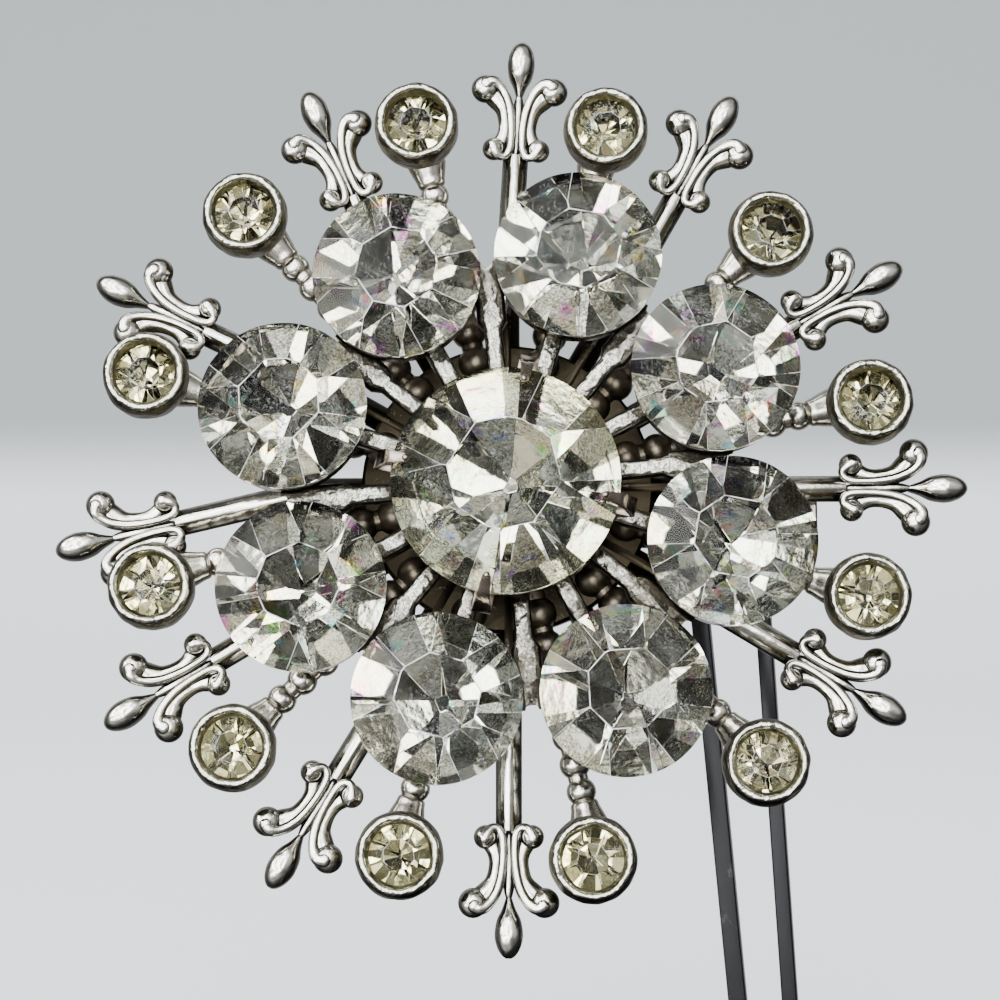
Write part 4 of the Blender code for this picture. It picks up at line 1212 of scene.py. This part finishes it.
@dataclass
class UpperTier:
    """Hub ring, bars and the cups of the ring of big crystals, with the crystals in them."""

    shop: Workshop
    finish: bpy.types.Material
    cup_finish: bpy.types.Material
    stone_finishes: list[bpy.types.Material]
    ring: float = 16.68
    turn_deg: float = 28.0
    crystal_radius: float = 6.0
    crystal_girdle: float = 8.2
    cup_radius: float = 5.75
    bottom: float = 4.9
    thickness: float = 1.0
    ring_inner: float = 5.75
    ring_width: float = 0.9
    lead_width: float = 1.4
    wedge_width: float = 1.3
    shoulder_width: float = 2.15
    shoulder_back: float = 3.5

    # A cup: radius and height
    CUP = ((1.5, 2.2), (5.60, 5.15), (5.75, 5.3), (5.75, 7.22), (5.70, 7.30), (5.45, 7.05),
           (5.30, 6.85), (1.4, 2.85))
    # Section of a bar from below: share of its half width, share of its thickness
    CROWN = ((1.0, 0.0), (1.0, 0.55), (0.92, 0.78), (0.74, 0.92), (0.45, 1.0))
    RING_SIDES = 72
    WEDGE_STEPS = 8
    # Where the bars start in the ring, from its inside; how far a bar between two cups reaches past
    # their line and into them, and how deep its end is hollowed
    OVERLAP = 0.2
    NOSE = 0.9
    SUNK = 0.15
    NOTCH = 0.45
    SEAT_DEG = 45.0
    # Each seat anticlockwise from the upper right: sway in degrees, share of the ring, table's turn
    SEATS = ((-0.1, 1.0, 32.0), (-0.3, 1.01, 12.0), (0.7, 0.995, 11.0), (-0.5, 1.005, 25.0),
             (0.6, 0.99, 0.0), (-0.5, 0.99, 8.0), (0.3, 1.035, 25.0), (0.6, 0.985, 12.0))

    def seat(self, index: int) -> Vector:
        """Place of a crystal's axis on the face."""
        sway, share, _ = self.SEATS[index % len(self.SEATS)]
        return spoke(self.turn_deg + sway + self.SEAT_DEG * index, self.ring * share).translation

    def cup(self) -> bpy.types.Mesh:
        """One cup, upright at the origin."""
        return Shape().turn(self.CUP, 64).mesh("cup")

    def wedge(self, index: int) -> list[Point]:
        """Work out the bar between two cups.

        Args:
            index: Number of the first cup.

        Returns:
            The bar's outline along its own spoke.
        """
        one, two = self.seat(index), self.seat(index + 1)
        reach = ((one + two) / 2.0).length
        away = (one - two).length / 2.0
        shoulder = reach - self.shoulder_back
        half, wide = self.wedge_width / 2.0, self.shoulder_width / 2.0
        side = [(self.ring_inner + self.OVERLAP, half), (shoulder - 0.75, half), (shoulder - 0.1, wide)]
        for k in range(self.WEDGE_STEPS + 1):
            x = shoulder + (self.shoulder_back + self.NOSE) * k / self.WEDGE_STEPS
            gap = away - math.sqrt(max(0.0, (self.cup_radius - self.SUNK) ** 2 - (x - reach) ** 2))
            side.append((x, min(wide, gap)))
        end_x, end_half = side[-1]
        arc = [(end_x - self.NOTCH * math.cos(t), end_half * math.sin(t))
               for t in map(math.radians, (60, 30, 0, -30, -60))]
        return side + arc + [(x, -y) for x, y in reversed(side)]

    def bar(self, shape: Shape, outline: list[Point], aim: Vector) -> None:
        """Add a bar with a crowned top.

        Args:
            shape: The mesh in the making.
            outline: Outline of the bar along +x.
            aim: A place on the face that it points to.
        """
        rings = [[(x, share * y, self.bottom + rise * self.thickness) for x, y in outline]
                 for share, rise in self.CROWN]
        shape.loft(rings, spoke(math.degrees(math.atan2(aim.y, aim.x))))

    def bars(self) -> bpy.types.Mesh:
        """Shape the ring and all bars.

        Returns:
            Their mesh.
        """
        shape = Shape()
        top = self.bottom + self.thickness
        start = self.ring_inner + self.OVERLAP
        for index in range(len(self.SEATS)):
            seat = self.seat(index)
            half = self.lead_width / 2.0
            end = seat.length - self.cup_radius + 0.3
            self.bar(shape, [(start, -half), (end, -half), (end, half), (start, half)], seat)
            self.bar(shape, self.wedge(index), (seat + self.seat(index + 1)) / 2.0)
        inner, outer = self.ring_inner, self.ring_inner + self.ring_width
        section = ((inner, self.bottom), (outer, self.bottom), (outer, top), (inner, top))
        shape.turn(section, self.RING_SIDES, ring=True)
        return bevelled(shape.mesh("bars"), 0.06, angle_deg=50.0)

    def build(self) -> None:
        """Build the tier and its crystals."""
        star = ["upper_star"]
        self.shop.finish("upper_ring_and_bars", self.bars(), [self.finish], Slot.BRIGHT_SILVER, star)
        places = [Matrix.Translation(self.seat(i)) for i in range(len(self.SEATS))]
        cups = self.shop.copies(self.cup(), places, self.cup_finish)
        self.shop.finish("crystal_cups", cups, [self.cup_finish], Slot.BRIGHT_SILVER, star)
        for index, (_, _, table_deg) in enumerate(self.SEATS):
            place = Matrix.Translation(self.seat(index)) @ spoke(table_deg, 0.0, self.crystal_girdle)
            stone = CutStone(self.shop, self.crystal_radius, self.stone_finishes, seed=11 + index)
            node = "crystal_%d" % (index + 1)
            stone.build("cut_" + node, node, place, Slot.CLEAR_CRYSTAL)


@dataclass
class CentrePiece:
    """The big middle crystal in its claw cup."""

    shop: Workshop
    finish: bpy.types.Material
    claw_finish: bpy.types.Material
    stone_finishes: list[bpy.types.Material]
    radius: float = 8.1
    girdle: float = 8.6
    table_deg: float = 34.6
    claw_deg: float = 79.3
    shift: tuple[float, float] = (-0.18, -0.40)

    # Claw along +x: out, up, half width
    CLAW = ((6.9, 6.95, 0.70), (9.0, 6.98, 0.70), (9.18, 7.3, 0.68), (8.9, 8.0, 0.60),
            (8.62, 8.72, 0.52), (8.3, 9.14, 0.46), (7.7, 9.5, 0.38), (7.1, 9.86, 0.30))
    # The conical cup: radius and height
    CUP = ((2.1, 1.4), (6.9, 5.85), (8.0, 7.22), (8.0, 7.3), (7.55, 7.3), (0.9, 1.66))
    # Half thickness of a claw, and its section: share of that, share of the half width
    CLAW_HALF = 0.175
    SECTION = ((-1, -1), (1, -1), (1.35, 0), (1, 1), (-1, 1), (-0.9, 0))
    # The bead at a claw's tip: place and half sizes
    TIP = ((7.1, 0.0, 9.98), (0.27, 0.25, 0.24))

    def claw(self) -> bpy.types.Mesh:
        """Shape one claw along +x, with the bead at its tip.

        Returns:
            Its mesh.
        """
        rows = smoothed(self.CLAW, 3)
        rings = []
        for i, (x, z, half) in enumerate(rows):
            before, after = rows[max(0, i - 1)], rows[min(len(rows) - 1, i + 1)]
            run = Vector((after[0] - before[0], after[1] - before[1])).normalized()
            lean = Vector((-run.y, run.x)) * self.CLAW_HALF
            rings.append([(x + s * lean.x, y * half, z + s * lean.y) for s, y in self.SECTION])
        return Shape().loft(rings).ball(*self.TIP, sides=18).mesh("claw")

    def build(self) -> None:
        """Build the cup, the claws and the stone."""
        node = ["centre_setting"]
        at = Matrix.Translation((*self.shift, 0.0))
        cup = Shape().turn(self.CUP, 96, at).mesh("cup")
        self.shop.finish("centre_cup", cup, [self.finish], Slot.BRIGHT_SILVER, node)
        places = [at @ spoke(self.claw_deg + 90.0 * i) for i in range(4)]
        claws = self.shop.copies(self.claw(), places, self.claw_finish)
        claws = bevelled(claws, 0.05, angle_deg=50.0)
        self.shop.finish("centre_claws", claws, [self.claw_finish], Slot.BRIGHT_SILVER, node)
        stone = CutStone(self.shop, self.radius, self.stone_finishes, edge=0.06, seed=14)
        place = at @ spoke(self.table_deg, 0.0, self.girdle)
        stone.build("cut_centre_crystal", "centre_crystal", place, Slot.CLEAR_CRYSTAL)


@dataclass
class PinBack:
    """The back plate with the posts and the pin, one plain piece."""

    shop: Workshop
    finish: bpy.types.Material
    left: float = -16.5
    right: float = 22.8
    rise: float = -1.8
    plate_half: float = 2.0
    post: float = 2.2
    post_half: float = 1.3
    axis: float = -6.9
    wire: float = 0.6

    def build(self) -> None:
        """Build the piece."""
        shape = Shape()
        blocks = [(self.left, self.right, self.plate_half, -1.1, -0.3)]
        for x in (self.left + 0.04, self.right - self.post - 0.04):
            blocks.append((x, x + self.post, self.post_half, self.axis - 1.2, -0.7))
        for left, right, half, bottom, top in blocks:
            shape.slab([(left, -half), (right, -half), (right, half), (left, half)], bottom, top)
        mesh = bevelled(shape.mesh("pin"), 0.2, 3)
        middle = self.post / 2.0
        wire = [(x, 0.0, self.axis, self.wire) for x in (self.left + middle, self.right - middle)]
        whole = Shape().take(mesh).take(self.shop.rod(wire, self.finish, 4, 20))
        place = FACE @ Matrix.Translation((0.0, self.rise, 0.0))
        self.shop.finish("pin_back", whole.mesh("pin"), [self.finish], Slot.AGED_SILVER,
                         ["pin_clasp"], place)


@dataclass
class Stand:
    """A round base with two hooked prongs that carry the pin."""

    shop: Workshop
    finish: bpy.types.Material
    radius: float = 32.0
    thickness: float = 4.0
    depth: float = 1.1
    twist_deg: float = 12.0

    # Name, foot to the side, lean to the left in degrees, width
    PRONGS = (("prong_left", -1.84, 5.55, 1.4), ("prong_right", 1.84, 3.97, 1.2))
    # Path of a prong: back and up
    ROUTE = ((0.0, 1.8), (0.0, 45.12), (-0.55, 45.67), (-2.35, 45.67), (-2.9, 46.22), (-2.9, 47.74))

    def prong(self, foot: float, lean_deg: float, width: float) -> bpy.types.Mesh:
        """Shape one prong with its hook, in the model's frame.

        Args:
            foot: Its place to the side on the base.
            lean_deg: Its lean to the left.
            width: Its width.

        Returns:
            Its mesh.
        """
        slope = math.tan(math.radians(lean_deg))
        twist = Matrix.Rotation(math.radians(-self.twist_deg), 3, "Z")
        route = [Vector((foot - slope * min(z, self.ROUTE[2][1]), y, z)) for y, z in self.ROUTE]
        rings = []
        for i, point in enumerate(route):
            run_in = (point - route[max(0, i - 1)]).normalized()
            run_out = (route[min(len(route) - 1, i + 1)] - point).normalized()
            along = run_in + run_out
            ahead = Vector((0.0, -along.z, along.y)).normalized()
            ring = []
            for across, through in ((-1, -1), (1, -1), (1, 1), (-1, 1)):
                flat = twist @ Vector((across * width / 2.0, through * self.depth / 2.0, 0.0))
                ring.append(point + Vector((flat.x, 0.0, 0.0)) - ahead * flat.y)
            rings.append(ring)
        return bevelled(Shape().loft(rings).mesh("prong"), 0.22, 3, 40.0)

    def build(self) -> None:
        """Build the base and both prongs."""
        edge = self.radius
        top = self.thickness
        profile = smoothed([(edge - 0.9, 0.0), (edge - 0.15, 0.15), (edge, 0.7)], 3)
        profile += smoothed([(edge, top - 0.7), (edge - 0.2, top - 0.2), (edge - 0.7, top)], 4)
        profile += [(edge - 1.6, top), (edge - 1.9, top - 0.2), (4.4, top - 0.2), (4.1, top)]
        base = Shape().turn(profile, 128).mesh("base")
        self.shop.finish("round_base", base, [self.finish], Slot.DARK_STEEL, ["stand_base"], MM)
        for name, foot, lean_deg, width in self.PRONGS:
            self.shop.finish(name + "_bar", self.prong(foot, lean_deg, width), [self.finish],
                             Slot.DARK_STEEL, [name], MM)


@dataclass
class Studio:
    """Pale sweep, soft lights and the camera."""

    paper: bpy.types.Material

    # Soft boxes: name, place, aim, size across and up, brightness
    LIGHTS = (
        ("top_softbox", (-0.14, -0.05, 0.46), (-0.02, 0.0, 0.05), (0.46, 0.34), 3.6),
        ("front_softbox", (-0.17, -0.60, 0.36), (-0.02, 0.0, 0.05), (0.40, 0.34), 6.2),
        ("paper_softbox", (0.0, 0.35, 1.0), (0.0, 0.62, 0.1), (1.4, 0.5), 3.6),
    )
    # The room's panels as stones show them: share of the random value from which a panel has its
    # brightness, which SHOWN divides and LIFT multiplies
    PANELS = ((0.0, 0.045), (0.21, 0.15), (0.43, 0.42), (0.67, 1.0), (0.82, 2.6), (0.91, 44.0))
    SHOWN = 60.0
    PANEL_SCALE = 11.0
    WARM = (1.0, 0.93, 0.76)
    COOL = (0.86, 0.96, 1.0)
    # Parts of the room: direction of its middle, how far towards it the part starts and is full, and
    # its brightness at both; LIFT is for the panels, and the others are for shiny metal
    LIFT = ((-0.45, -0.60, 0.66), -0.3, 0.8, 26.0, 70.0)
    LIT = ((-0.45, -0.60, 0.66), -0.5, 0.85, 0.08, 0.9)
    AHEAD = ((0.0, -1.0, 0.0), -0.25, 0.55, 0.16, 1.0)
    KEY = ((-0.40, -0.80, 0.45), 0.62, 0.80, 0.0, 12.0)
    BACK = ((0.0, 1.0, 0.0), 0.4, 0.9, 0.0, 0.8)
    # Noises and levels of the soft clouds and of the patches in the key
    CLOUD = {"Scale": 1.6, "Detail": 1.0}
    CLOUD_LEVELS = {"From_Min": 0.35, "From_Max": 0.65, "To_Min": 0.4, "To_Max": 1.4}
    PATCH = {"Scale": 5.5, "Detail": 1.5}
    PATCH_LEVELS = (0.44, 0.60, 0.08, 1.2)
    # Brightness of the room for all other rays
    PALE = 1.38
    # The paper, in metres: half width, front, place where floor and sweep meet, foot and radius of
    # the curve, and top of the wall
    HALF_WIDTH = 1.8
    FRONT = -1.4
    SEAM = -0.06
    FOOT = 0.45
    CURVE = 0.3
    TOP = 1.6
    SENSOR_MM = 36.0
    LENS_MM = 93.0
    CLIP = (0.01, 10.0)
    VIEWPOINT = (-0.02117, -0.197933, 0.04967)

    def strip(self, name: str, profile: list[Point]) -> None:
        """Lay a strip of paper across the whole set, which shiny pieces don't show.

        Args:
            name: Its name.
            profile: Its y and z, from the front backwards.
        """
        bm = bmesh.new()
        sides = (-self.HALF_WIDTH, self.HALF_WIDTH)
        rows = [[bm.verts.new((x, y, z)) for y, z in profile] for x in sides]
        for i in range(len(profile) - 1):
            bm.faces.new((rows[0][i], rows[1][i], rows[1][i + 1], rows[0][i + 1]))
        mesh = bpy.data.meshes.new(name)
        bm.to_mesh(mesh)
        bm.free()
        mesh.shade_smooth()
        mesh.materials.append(self.paper)
        paper = linked(name, mesh)
        paper.visible_glossy = paper.visible_transmission = False

    def sweep(self) -> None:
        """The floor that curves up into a back wall."""
        curve = [(self.FOOT + self.CURVE * math.sin(a), self.CURVE - self.CURVE * math.cos(a))
                 for a in (math.radians(10.0 * k) for k in range(10))]
        wall = (self.FOOT + self.CURVE, self.TOP)
        self.strip("paper_floor", [(self.FRONT, 0.0), (self.SEAM, 0.0)])
        self.strip("paper_sweep", [(self.SEAM, 0.0)] + curve + [wall])

    def lamps(self) -> None:
        """The soft boxes."""
        for name, place, aim, size, bright in self.LIGHTS:
            data = bpy.data.lights.new(name, "AREA")
            data.shape = "RECTANGLE"
            data.size, data.size_y = size
            data.energy = bright * math.pi * size[0] * size[1]
            lamp = linked(name, data)
            lamp.location = place
            lamp.rotation_euler = (Vector(aim) - Vector(place)).to_track_quat("-Z", "Y").to_euler()
            lamp.visible_camera = lamp.visible_glossy = lamp.visible_transmission = False

    def room(self) -> None:
        """The room round the set, split by the kind of ray.

        Rays through stones see warm and cool panels from dark to bright, mirrored rays see a soft room
        with a bright key, and all others an even pale room.
        """
        world = bpy.data.worlds.new("room")
        world.use_nodes = True
        bpy.context.scene.world = world
        w = Wiring(world.node_tree)
        way = w.add("ShaderNodeTexCoord").outputs["Generated"]
        rays = w.add("ShaderNodeLightPath").outputs
        lift, lit, ahead, key, back = (w.ramp(w.along(way, middle), *levels) for middle, *levels in (
            self.LIFT, self.LIT, self.AHEAD, self.KEY, self.BACK))
        cloud = w.out("ShaderNodeTexNoise", Vector=way, **self.CLOUD)
        soft = w.out("ShaderNodeMapRange", Value=cloud, **self.CLOUD_LEVELS)
        uneven = w.out("ShaderNodeTexNoise", Vector=way, **self.PATCH)
        key = w.calc("MULTIPLY", key, w.ramp(uneven, *self.PATCH_LEVELS))
        mirrored = w.calc("MULTIPLY_ADD", w.calc("MULTIPLY", lit, ahead), soft, key)
        mirrored = w.calc("ADD", mirrored, back)
        plain = w.choose(rays["Is Glossy Ray"], self.PALE, mirrored)
        panel = w.add("ShaderNodeTexVoronoi", {"distance": "CHEBYCHEV"}, Vector=way,
                      Scale=self.PANEL_SCALE)
        pick = w.add("ShaderNodeSeparateColor", Color=panel.outputs["Color"]).outputs
        steps = w.add("ShaderNodeValToRGB", Fac=pick[0])
        steps.color_ramp.interpolation = "CONSTANT"
        elements = steps.color_ramp.elements
        while len(elements) < len(self.PANELS):
            elements.new(0.5)
        for element, (share, bright) in zip(elements, self.PANELS):
            element.position = share
            element.color = (*[bright / self.SHOWN] * 3, 1.0)
        facets = w.calc("MULTIPLY", steps.outputs["Color"], lift)
        shown = w.choose(rays["Is Transmission Ray"], plain, facets)
        tint = w.blend(pick[1], self.WARM, self.COOL)
        tint = w.blend(rays["Is Transmission Ray"], (1.0, 1.0, 1.0), tint)
        light = w.out("ShaderNodeBackground", Color=tint, Strength=shown)
        w.add("ShaderNodeOutputWorld", Surface=light)

    def camera(self) -> None:
        """The camera, level and straight in front of the hub."""
        data = bpy.data.cameras.new("camera")
        data.sensor_width = self.SENSOR_MM
        data.lens = self.LENS_MM
        data.clip_start, data.clip_end = self.CLIP
        data.dof.use_dof = False
        camera = linked("camera", data)
        camera.location = self.VIEWPOINT
        camera.rotation_euler = (math.radians(90.0), 0.0, 0.0)
        bpy.context.scene.camera = camera

    def build(self) -> None:
        """Set up the studio."""
        self.sweep()
        self.lamps()
        self.room()
        self.camera()


def main() -> None:
    """Build every piece, then the studio."""
    logging.basicConfig(level=logging.INFO, format="%(message)s")
    shop = Workshop(rod_tree(), bead_tree(), ring_tree())
    aged = PlatedSilver("aged_plate", (0.77, 0.76, 0.68), (0.030, 0.025, 0.016), reach=1.8, cover=0.46,
                        smooth=0.17, dull=0.34, wave=0.4, hub_painted_shade=1.1, flank_painted_shade=1.0,
                        pitted=0.3).make()
    beaded = PlatedSilver("bead_plate", (0.72, 0.70, 0.62), (0.17, 0.145, 0.108), reach=1.6, cover=0.36,
                          smooth=0.2, dull=0.38, wave=0.3, hub_painted_shade=0.9, flank_painted_shade=0.7, mottle=0.7,
                          pitted=0.2, depth=0.06).make()
    bezel = PlatedSilver("bezel_plate", (0.56, 0.555, 0.47), (0.07, 0.062, 0.038), reach=1.2,
                         cover=0.36, smooth=0.16, dull=0.40, wave=0.9, flank_painted_shade=1.5, mottle=1.0,
                         pitted=0.6, depth=0.16).make()
    bright = PlatedSilver("bright_plate", (0.31, 0.308, 0.268), (0.05, 0.044, 0.032), reach=1.8,
                          cover=0.22, smooth=0.16, dull=0.36, wave=0.9, flank_painted_shade=1.4, low_right_painted_shade=0.5,
                          mottle=1.0, pitted=0.2, depth=0.2).make()
    cup = PlatedSilver("cup_plate", (0.50, 0.48, 0.45), (0.05, 0.042, 0.034), reach=1.8, cover=0.26,
                       smooth=0.25, dull=0.55).make()
    claw = PlatedSilver("claw_plate", (0.25, 0.205, 0.17), (0.08, 0.062, 0.046), reach=0.6, cover=0.3,
                        smooth=0.25, dull=0.45).make()
    edge = WornEdge("rubbed_facet_edge", (0.95, 0.95, 0.92)).make()
    clear = [ClearGlass("crystal_glass", (0.99, 0.995, 0.99), (0.93, 0.93, 0.84)).make(),
             Foil("crystal_foil", (0.84, 0.84, 0.80), (0.24, 0.22, 0.17), painted_fire=0.45).make(), edge]
    yellow = [ClearGlass("rhinestone_glass", (0.99, 0.985, 0.94), (0.92, 0.90, 0.74), haze=0.3,
                         veil=0.4).make(),
              Foil("rhinestone_foil", (0.95, 0.93, 0.76), (0.72, 0.67, 0.42), stained=0.54, painted_fire=0.1,
                   grainy=0.4).make(), edge]
    steel = BlackSteel("black_steel", (0.035, 0.035, 0.038), (0.12, 0.12, 0.12)).make()

    casting = LowerCasting(shop, aged, beaded, bezel)
    casting.build()
    for index, place in enumerate(casting.bezel_places(3.55)):
        stone = CutStone(shop, 2.3, yellow, edge=0.025, back_edge=0.02, seed=40 + index)
        node = "rhinestone_%d" % (index + 1)
        stone.build("cut_" + node, node, place, Slot.YELLOWED_RHINESTONE)
    UpperTier(shop, bright, cup, clear).build()
    yellowed = ClearGlass("centre_glass", (0.99, 0.995, 0.99), (0.88, 0.87, 0.62)).make()
    CentrePiece(shop, bright, claw, [yellowed] + clear[1:]).build()
    PinBack(shop, aged).build()
    Stand(shop, steel).build()
    # The backdrop's second colour is painted shade up the wall.
    Studio(Backdrop("backdrop_paper", (0.79, 0.835, 0.86), (0.340, 0.366, 0.368)).make()).build()
    log.info("%d pieces", shop.count)


if __name__ == "__main__":
    main()
